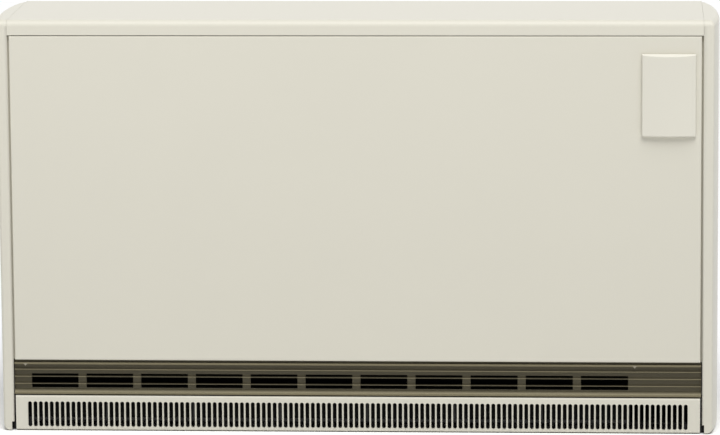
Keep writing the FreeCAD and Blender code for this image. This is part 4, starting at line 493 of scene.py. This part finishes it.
def finishes(tints, sizes):
    """Every finish of the heater, by the name of its slot in the record, and the three prints."""
    fine, zinc, lines, coarse = fine_grain(), zinc_spangle(), drawn_lines(), coarse_body()

    def coated(name, tint, grain, tone, rough, change, bump, floor_shade=0.0, **surface):
        values = {"Grain": grain, "Tone": tone, "Floor shade": floor_shade}
        values.update({"Roughness": rough, "Roughness change": change})
        return finish(name, fine, values, tint, bump, COAT_RELIEF, **surface)

    def metal(name, tint, contrast, rough):
        values = {"Contrast": contrast, "Roughness": rough}
        return finish(name, lines, values, tint, bump=0.05, relief=METAL_RELIEF, Metallic=1.0)

    def rough_body(name, tint, scale, contrast, rough, bump, **surface):
        values = {"Scale": scale, "Contrast": contrast, "Roughness": rough}
        return finish(name, coarse, values, tint, bump, BODY_RELIEF, **surface)

    made = [
        # The enamel carries painted shade that darkens it towards the floor.
        coated(
            "cream_enamel", tints.enamel, grain=1300.0, tone=0.012, rough=0.34, change=0.04, bump=0.10,
            floor_shade=tints.floor_shade, Specular_IOR_Level=0.2,
        ),
        finish(
            "bronze_paint", ribs_with_painted_light(fine), outlet_values(tints, sizes), tints.bronze,
            bump=0.12, relief=COAT_RELIEF, Metallic=0.25, Specular_IOR_Level=0.3,
        ),
        # Painted shade: near-black sheets behind the grilles, so that the openings read as dark shade.
        coated(
            "black_paint", tints.black_for_shade, grain=1500.0, tone=0.10, rough=0.70, change=0.05, bump=0.12,
            Specular_IOR_Level=0.05,
        ),
        coated(
            "cream_plastic", tints.cream_plastic, grain=2200.0, tone=0.012, rough=0.44, change=0.05,
            bump=0.14, Specular_IOR_Level=0.3,
        ),
        coated(
            "dark_plastic", tints.dark_plastic, grain=1800.0, tone=0.10, rough=0.52, change=0.06,
            bump=0.20, Specular_IOR_Level=0.25,
        ),
        coated(
            "control_grey", tints.control_grey, grain=2200.0, tone=0.04, rough=0.45, change=0.05,
            bump=0.16,
        ),
        # Painted shade: a near-black filter behind the slots, so that they read as dark shade.
        coated(
            "filter_gauze", tints.gauze_shade, grain=2600.0, tone=0.20, rough=0.75, change=0.08, bump=0.60,
            Specular_IOR_Level=0.05,
        ),
        coated(
            "red_lens", tints.lens, grain=900.0, tone=0.05, rough=0.16, change=0.02, bump=0.02,
            Coat_Weight=0.6,
        ),
        coated(
            "dark_print", tints.print_dark, grain=2400.0, tone=0.06, rough=0.55, change=0.04, bump=0.05,
        ),
        coated(
            "light_print", tints.print_light, grain=2400.0, tone=0.02, rough=0.50, change=0.04, bump=0.05,
        ),
        coated(
            "worn_print", tints.print_worn, grain=2400.0, tone=0.08, rough=0.55, change=0.05, bump=0.08,
        ),
        finish(
            "zinc_sheet", zinc, {"Scale": 120.0, "Contrast": 0.16, "Roughness": 0.42}, tints.zinc,
            bump=0.04, relief=COAT_RELIEF, Metallic=1.0,
        ),
        metal("bright_steel", tints.steel, contrast=0.18, rough=0.28),
        metal("element_sheath", tints.sheath, contrast=0.30, rough=0.48),
        metal("fan_aluminium", tints.aluminium, contrast=0.15, rough=0.36),
        metal("copper_winding", tints.copper, contrast=0.35, rough=0.34),
        rough_body(
            "sintered_bronze", tints.bearing, scale=1600.0, contrast=0.18, rough=0.55, bump=0.15,
            Metallic=1.0,
        ),
        rough_body("insulation_board", tints.board, scale=420.0, contrast=0.10, rough=0.95, bump=0.40),
        rough_body("storage_brick", tints.brick, scale=520.0, contrast=0.28, rough=0.90, bump=0.45),
        rough_body("white_ceramic", tints.ceramic, scale=1400.0, contrast=0.04, rough=0.70, bump=0.12),
    ]
    return {material.name: material for material in made}


# Mesh helpers

def keep_piece(shape, name, body, material):
    """Turn a bmesh into a piece that rides on a body and takes a slot's finish."""
    bmesh.ops.recalc_face_normals(shape, faces=shape.faces)
    mesh = mesh_of(shape, name)
    mesh.materials.append(bpy.data.materials[material])
    piece = bpy.data.objects.new(name, mesh)
    bpy.context.scene.collection.objects.link(piece)
    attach(piece, body)
    return piece


def mesh_of(shape, name):
    """Turn a bmesh into a mesh."""
    mesh = bpy.data.meshes.new(name)
    shape.to_mesh(mesh)
    shape.free()
    return mesh


def copy_to(shape, mesh, matrices):
    """Add copies of a mesh to a bmesh, one at each matrix, and drop the mesh."""
    for matrix in matrices:
        placed = mesh.copy()
        placed.transform(matrix)
        shape.from_mesh(placed)
        bpy.data.meshes.remove(placed)
    bpy.data.meshes.remove(mesh)


def seat(name, x, z, side=FRONT):
    """Where a line from a metre in front or behind meets a node at x, z, and how its surface faces."""
    start = Vector((x, side, z))
    hit, place, normal, _ = frame["nodes"][name].ray_cast(start, Vector((0.0, -side, 0.0)))
    if not hit:
        raise RuntimeError(f"nothing of {name} at {x:.4f}, {z:.4f}")
    return place, normal


def faced(place, normal):
    """A frame at a place whose Z is the surface's normal and whose Y points up."""
    out = normal.normalized()
    right = Vector((0.0, 0.0, 1.0)).cross(out).normalized()
    up = out.cross(right)
    return Matrix.Translation(place) @ Matrix((right, up, out)).transposed().to_4x4()


def raised(shape, faces, height):
    """Extrude flat faces of a shape along Z into a closed plate."""
    grown = bmesh.ops.extrude_face_region(shape, geom=faces)["geom"]
    upper = [part for part in grown if isinstance(part, bmesh.types.BMVert)]
    bmesh.ops.translate(shape, verts=upper, vec=(0.0, 0.0, height))


def bar(width, reach, height):
    """A flat bar on the origin."""
    shape = bmesh.new()
    bmesh.ops.create_grid(shape, x_segments=1, y_segments=1, size=0.5)
    bmesh.ops.scale(shape, verts=shape.verts, vec=(width, reach, 1.0))
    raised(shape, list(shape.faces), height)
    return mesh_of(shape, "bar")


def bevelled(shape, edges, offset, segments):
    """Round edges of a shape."""
    bmesh.ops.bevel(
        shape, geom=edges, offset=offset, affect="EDGES", segments=segments, profile=0.5, material=-1,
    )


def printed(words, height, thickness):
    """A mesh of printed characters, centred on the origin."""
    text = bpy.data.curves.new("print", "FONT")
    text.body = words
    text.size = height
    text.extrude = thickness / 2
    text.align_x = "CENTER"
    text.align_y = "CENTER"
    holder = bpy.data.objects.new("print", text)
    mesh = bpy.data.meshes.new_from_object(holder)
    bpy.data.objects.remove(holder)
    bpy.data.curves.remove(text)
    mesh.transform(Matrix.Translation((0.0, 0.0, thickness / 2)))
    return mesh


def topmost(shape):
    """The face of a shape that lies highest."""
    return max(shape.faces, key=lambda face: face.calc_center_median().z)


def roll_foot(shape, low, high, side, sizes):
    """Roll a side panel's foot in, round an arc that starts upright and ends at the lower edge."""
    outmost = max(side * low.x, side * high.x)
    flat_end = outmost - sizes.cheek_bulge + sizes.cheek_flat
    middle = low.z + sizes.foot_roll * math.cos(ROLL_END)
    for number in range(1, ROLL_STEPS + 1):
        turn = ROLL_END + (math.pi / 2 - ROLL_END) * number / ROLL_STEPS
        height = middle - sizes.foot_roll * math.cos(turn)
        bmesh.ops.bisect_plane(
            shape, geom=[*shape.verts, *shape.edges, *shape.faces], dist=MERGE,
            plane_co=(0.0, 0.0, height), plane_no=(0.0, 0.0, 1.0),
        )
    for vert in shape.verts:
        part = (side * vert.co.x - flat_end) / (sizes.cheek_strip - sizes.cheek_flat)
        if part > 0.0 and vert.co.z < middle:
            down = (middle - vert.co.z) / sizes.foot_roll
            inwards = sizes.foot_roll * (1.0 - math.sqrt(1.0 - down * down))
            vert.co.x -= side * min(part, 1.0) * inwards


# Operators

class HEATER_OT_finishes(Operator):
    """Give every node of the heater its finish"""

    bl_idname = "storage_heater.finishes"
    bl_label = "Finishes"

    def execute(self, context):
        made = finishes(context.scene.heater_colours, context.scene.heater_sizes)
        for part in frame["record"]["subparts"]:
            for place in frame["nodes"][part["node"]].material_slots:
                place.material = made[part["material_slot"]]
        return {"FINISHED"}


class HEATER_OT_side_panels(Operator):
    """Side panels whose lower outer edge is rolled in"""

    bl_idname = "storage_heater.side_panels"
    bl_label = "Side panels"

    def execute(self, context):
        for name, side in (("left_side_panel", LEFT), ("right_side_panel", RIGHT)):
            shape = bmesh.new()
            shape.from_mesh(frame["nodes"][name].data)
            bmesh.ops.remove_doubles(shape, verts=shape.verts, dist=MERGE)
            roll_foot(shape, *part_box(name), side, context.scene.heater_sizes)
            for face in shape.faces:
                face.smooth = True
            piece = keep_piece(shape, f"{name}_rolled", "heater", "cream_enamel")
            piece.data.set_sharp_from_angle(angle=SHARP)
            weighted = piece.modifiers.new("weighted normals", "WEIGHTED_NORMAL")
            weighted.keep_sharp = True
            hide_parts(name)
        return {"FINISHED"}


class HEATER_OT_slot_rims(Operator):
    """Pressed rims round the slots of the plinth"""

    bl_idname = "storage_heater.slot_rims"
    bl_label = "Slot rims"

    def execute(self, context):
        sizes = context.scene.heater_sizes
        half = sizes.slot_width / 2
        straight = sizes.slot_length / 2 - half
        rim = bmesh.new()
        bmesh.ops.create_circle(rim, cap_ends=True, segments=SLOT_CORNERS, radius=half + sizes.rim_width)
        bmesh.ops.rotate(rim, verts=rim.verts, matrix=Matrix.Rotation(math.pi / SLOT_CORNERS, 3, "Z"))
        for way in (-1, 1):
            end = [vert for vert in rim.verts if vert.co.y * way > 0]
            bmesh.ops.translate(rim, verts=end, vec=(0.0, way * straight, 0.0))
        face = list(rim.faces)
        # The rim rises from the sheet, and then falls into the slot
        for depth in (sizes.rim_height, -2 * sizes.rim_height):
            bmesh.ops.inset_region(
                rim, faces=face, thickness=sizes.rim_width / 2, depth=depth,
                use_even_offset=True, use_boundary=True,
            )
        bmesh.ops.delete(rim, geom=face, context="FACES_ONLY")
        bmesh.ops.bridge_loops(rim, edges=[edge for edge in rim.edges if edge.is_boundary])
        bmesh.ops.recalc_face_normals(rim, faces=rim.faces)
        first = -(sizes.slot_count - 1) / 2 * sizes.slot_pitch
        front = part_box("plinth_grille")[0].y
        places = [
            Vector((first + number * sizes.slot_pitch, front, sizes.slot_middle))
            for number in range(sizes.slot_count)
        ]
        shape = bmesh.new()
        copy_to(shape, mesh_of(rim, "slot rim"), [faced(place, FORWARD) for place in places])
        keep_piece(shape, "plinth_slot_rims", "heater", "cream_enamel")
        return {"FINISHED"}


class HEATER_OT_clip_marks(Operator):
    """Small arrow marks on the outlet where its clips are released"""

    bl_idname = "storage_heater.clip_marks"
    bl_label = "Clip marks"

    def execute(self, context):
        sizes = context.scene.heater_sizes
        low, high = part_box("outlet_grille")
        mark = bmesh.new()
        bmesh.ops.create_circle(mark, cap_ends=True, segments=3, radius=1.0)
        bmesh.ops.rotate(mark, verts=mark.verts, matrix=Matrix.Rotation(math.pi, 3, "Z"))
        flat = (sizes.mark_width / TRIANGLE_WIDTH, sizes.mark_height / TRIANGLE_HEIGHT, 1.0)
        bmesh.ops.scale(mark, verts=mark.verts, vec=flat)
        raised(mark, list(mark.faces), high.y - low.y)
        rim = [edge for edge in mark.edges if min(vert.co.z for vert in edge.verts) > 0]
        bevelled(mark, rim, sizes.mark_round, segments=2)
        places = [
            Vector((x, high.y - sizes.mark_sink, high.z - sizes.mark_drop))
            for x in (sizes.mark_left, sizes.mark_right)
        ]
        shape = bmesh.new()
        copy_to(shape, mesh_of(mark, "clip mark"), [faced(place, FORWARD) for place in places])
        keep_piece(shape, "outlet_clip_marks", "heater", "worn_print")
        return {"FINISHED"}


class HEATER_OT_dial(Operator):
    """Numbers and ticks of the room thermostat, printed on the floor of the recess"""

    bl_idname = "storage_heater.dial"
    bl_label = "Dial"

    def execute(self, context):
        sizes = context.scene.heater_sizes
        knob = next(joint for joint in frame["joints"] if joint["name"] == "knob_turn")
        limit = max(math.radians(degrees) for degrees in knob["range_deg"])
        low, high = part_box("thermostat_knob")
        middle = (low + high) / 2
        ground = seat("control_recess", middle.x, high.z + sizes.tick_gap)[0]
        centre = Matrix.Translation((middle.x, ground.y, middle.z))
        upright = faced(Vector(), FORWARD)
        tick_place = Matrix.Translation((0.0, 0.0, (high.x - low.x) / 2 + sizes.tick_gap))
        digit_place = Matrix.Translation((0.0, 0.0, sizes.dial_radius))
        last = sizes.dial_numbers - 1
        shape = bmesh.new()
        for half_step in range(2 * last + 1):
            turn = limit * (half_step / last - 1)
            at_number = half_step % 2 == 0
            spot = centre @ Matrix.Rotation(turn, 4, "Y")
            tick = bar(
                sizes.tick_width, sizes.tick_long if at_number else sizes.tick_short, sizes.print_height,
            )
            copy_to(shape, tick, [spot @ tick_place @ upright])
            if at_number:
                digit = printed(str(half_step // 2 + 1), sizes.digit_height, sizes.print_height)
                turned_back = Matrix.Rotation(-turn, 4, "Y")
                copy_to(shape, digit, [spot @ digit_place @ turned_back @ upright])
        keep_piece(shape, "thermostat_dial", "heater", "dark_print")
        return {"FINISHED"}


class HEATER_OT_pointer(Operator):
    """Pointer line in the groove of the knob"""

    bl_idname = "storage_heater.pointer"
    bl_label = "Pointer"

    def execute(self, context):
        sizes = context.scene.heater_sizes
        low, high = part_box("thermostat_knob")
        middle = (low + high) / 2
        shape = bmesh.new()
        bmesh.ops.create_cube(shape, size=1.0)
        extent = (sizes.pointer_width, sizes.pointer_depth, sizes.pointer_length)
        bmesh.ops.scale(shape, verts=shape.verts, vec=extent)
        bevelled(shape, list(shape.edges), sizes.pointer_round, segments=2)
        place = (middle.x, low.y + sizes.pointer_sink, middle.z + sizes.pointer_rise)
        bmesh.ops.translate(shape, verts=shape.verts, vec=place)
        keep_piece(shape, "knob_pointer", "knob", "light_print")
        return {"FINISHED"}


class HEATER_OT_switch_marks(Operator):
    """Line and ring on the two faces of the rocker"""

    bl_idname = "storage_heater.switch_marks"
    bl_label = "Switch marks"

    def execute(self, context):
        sizes = context.scene.heater_sizes
        low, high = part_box("rocker_switch")
        middle = (low + high) / 2
        line = bar(sizes.line_width, sizes.line_length, sizes.print_height)
        ring = bmesh.new()
        bmesh.ops.create_circle(
            ring, cap_ends=True, segments=sizes.ring_corners, radius=sizes.ring_radius,
        )
        bmesh.ops.inset_region(
            ring, faces=list(ring.faces), thickness=sizes.ring_width, use_boundary=True,
        )
        disc = max(ring.faces, key=lambda face: len(face.verts))
        bmesh.ops.delete(ring, geom=[disc], context="FACES_ONLY")
        raised(ring, list(ring.faces), sizes.print_height)
        shape = bmesh.new()
        for mark, rise in ((line, sizes.switch_rise), (mesh_of(ring, "ring"), -sizes.switch_rise)):
            copy_to(shape, mark, [faced(*seat("rocker_switch", middle.x, middle.z + rise))])
        keep_piece(shape, "rocker_marks", "rocker", "light_print")
        return {"FINISHED"}


class HEATER_OT_rear_screws(Operator):
    """Screws that hold the rear wall"""

    bl_idname = "storage_heater.rear_screws"
    bl_label = "Rear screws"

    def execute(self, context):
        sizes = context.scene.heater_sizes
        radius = sizes.screw_radius
        screw = bmesh.new()
        bmesh.ops.create_circle(screw, cap_ends=True, segments=sizes.screw_corners, radius=radius)
        raised(screw, list(screw.faces), SCREW_HEIGHT * radius)
        bevelled(screw, list(topmost(screw).edges), SCREW_ROUND * radius, segments=3)
        top = [topmost(screw)]
        bmesh.ops.inset_region(screw, faces=top, thickness=SOCKET_RIM * radius)
        bmesh.ops.inset_region(
            screw, faces=top, thickness=SOCKET_WALL * radius, depth=-SOCKET_DEPTH * radius,
        )
        low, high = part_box("rear_wall")
        places = [
            (side * (high.x - sizes.screw_inset), low.z + (high.z - low.z) * row)
            for side in (LEFT, RIGHT) for row in SCREW_ROWS
        ]
        shape = bmesh.new()
        seats = [faced(*seat("rear_wall", x, z, REAR)) for x, z in places]
        copy_to(shape, mesh_of(screw, "rear screw"), seats)
        keep_piece(shape, "rear_wall_screws", "heater", "bright_steel")
        return {"FINISHED"}


class HEATER_OT_stage(Operator):
    """Pale floor, soft light and the camera"""

    bl_idname = "storage_heater.stage"
    bl_label = "Stage"

    def execute(self, context):
        stage = context.scene.heater_stage
        self.add_floor(context, stage)
        self.add_light(context, stage)
        self.add_camera(context, stage)
        context.scene.view_settings.view_transform = "Standard"
        return {"FINISHED"}

    def add_floor(self, context, stage):
        """A large pale floor under the heater."""
        floor = bmesh.new()
        bmesh.ops.create_grid(floor, x_segments=1, y_segments=1, size=FLOOR_SIDE / 2)
        ground = bpy.data.objects.new("floor", mesh_of(floor, "floor"))
        context.scene.collection.objects.link(ground)
        pale = bpy.data.materials.new("pale floor")
        pale.use_nodes = True
        surface = pale.node_tree.nodes["Principled BSDF"]
        surface.inputs["Base Color"].default_value = (*stage.floor, 1.0)
        surface.inputs["Roughness"].default_value = 0.9
        surface.inputs["Specular IOR Level"].default_value = 0.0
        ground.data.materials.append(pale)

    def add_light(self, context, stage):
        """An even sky that is seen as white, and one soft main light."""
        world = bpy.data.worlds.new("studio")
        world.use_nodes = True
        context.scene.world = world
        tree = world.node_tree
        path = node(tree, "ShaderNodeLightPath").outputs
        seen = maths(tree, "MAXIMUM", path["Is Camera Ray"], path["Is Glossy Ray"])
        seen = maths(tree, "MAXIMUM", seen, path["Is Transmission Ray"])
        background = tree.nodes["Background"].inputs
        tree.links.new(spread(tree, seen, stage.sky, 1.0), background["Strength"])
        background["Color"].default_value = (1.0, 1.0, 1.0, 1.0)
        sun = bpy.data.lights.new("key", "SUN")
        sun.energy = stage.key
        sun.angle = stage.key_spread
        lamp = bpy.data.objects.new("key", sun)
        lamp.rotation_euler = Vector(stage.key_from).to_track_quat("Z", "Y").to_euler()
        context.scene.collection.objects.link(lamp)

    def add_camera(self, context, stage):
        """The camera at the photograph's viewing angle."""
        eye = bpy.data.cameras.new("camera")
        eye.sensor_fit = "HORIZONTAL"
        eye.sensor_width = SENSOR_WIDTH
        eye.lens = stage.lens
        eye.clip_end = VIEW_END
        camera = bpy.data.objects.new("camera", eye)
        turned = Matrix.Rotation(stage.yaw, 4, "Z")
        turned = turned @ Matrix.Rotation(math.pi / 2 + stage.pitch, 4, "X")
        turned = turned @ Matrix.Rotation(stage.roll, 4, "Z")
        camera.matrix_world = Matrix.Translation(stage.camera_at) @ turned
        context.scene.collection.objects.link(camera)
        context.scene.camera = camera


OPERATORS = [
    HEATER_OT_stage,
    HEATER_OT_finishes,
    HEATER_OT_side_panels,
    HEATER_OT_slot_rims,
    HEATER_OT_clip_marks,
    HEATER_OT_dial,
    HEATER_OT_pointer,
    HEATER_OT_switch_marks,
    HEATER_OT_rear_screws,
]


class HEATER_PT_panel(Panel):
    """Buttons and settings of the heater"""

    bl_idname = "HEATER_PT_panel"
    bl_label = "Storage heater"
    bl_space_type = "VIEW_3D"
    bl_region_type = "UI"
    bl_category = "Heater"

    def draw(self, context):
        for made in OPERATORS:
            self.layout.operator(made.bl_idname)
        for group in GROUPS:
            settings = getattr(context.scene, group)
            box = self.layout.box()
            for name in settings.__annotations__:
                box.prop(settings, name)


GROUPS = {
    "heater_sizes": HeaterSizes,
    "heater_colours": HeaterColours,
    "heater_stage": HeaterStage,
}
CLASSES = [*GROUPS.values(), *OPERATORS, HEATER_PT_panel]


def register():
    """Register the classes and hang the settings on the scene."""
    for made in CLASSES:
        bpy.utils.register_class(made)
    for name, group in GROUPS.items():
        setattr(bpy.types.Scene, name, PointerProperty(type=group))


def unregister():
    """Take the settings and the classes away again."""
    for name in GROUPS:
        delattr(bpy.types.Scene, name)
    for made in reversed(CLASSES):
        bpy.utils.unregister_class(made)


def main():
    """Build the heater's looks."""
    register()
    bpy.ops.storage_heater.stage()
    bpy.ops.storage_heater.finishes()
    bpy.ops.storage_heater.side_panels()
    bpy.ops.storage_heater.slot_rims()
    bpy.ops.storage_heater.clip_marks()
    bpy.ops.storage_heater.dial()
    bpy.ops.storage_heater.pointer()
    bpy.ops.storage_heater.switch_marks()
    bpy.ops.storage_heater.rear_screws()


if __name__ == "__main__":
    main()
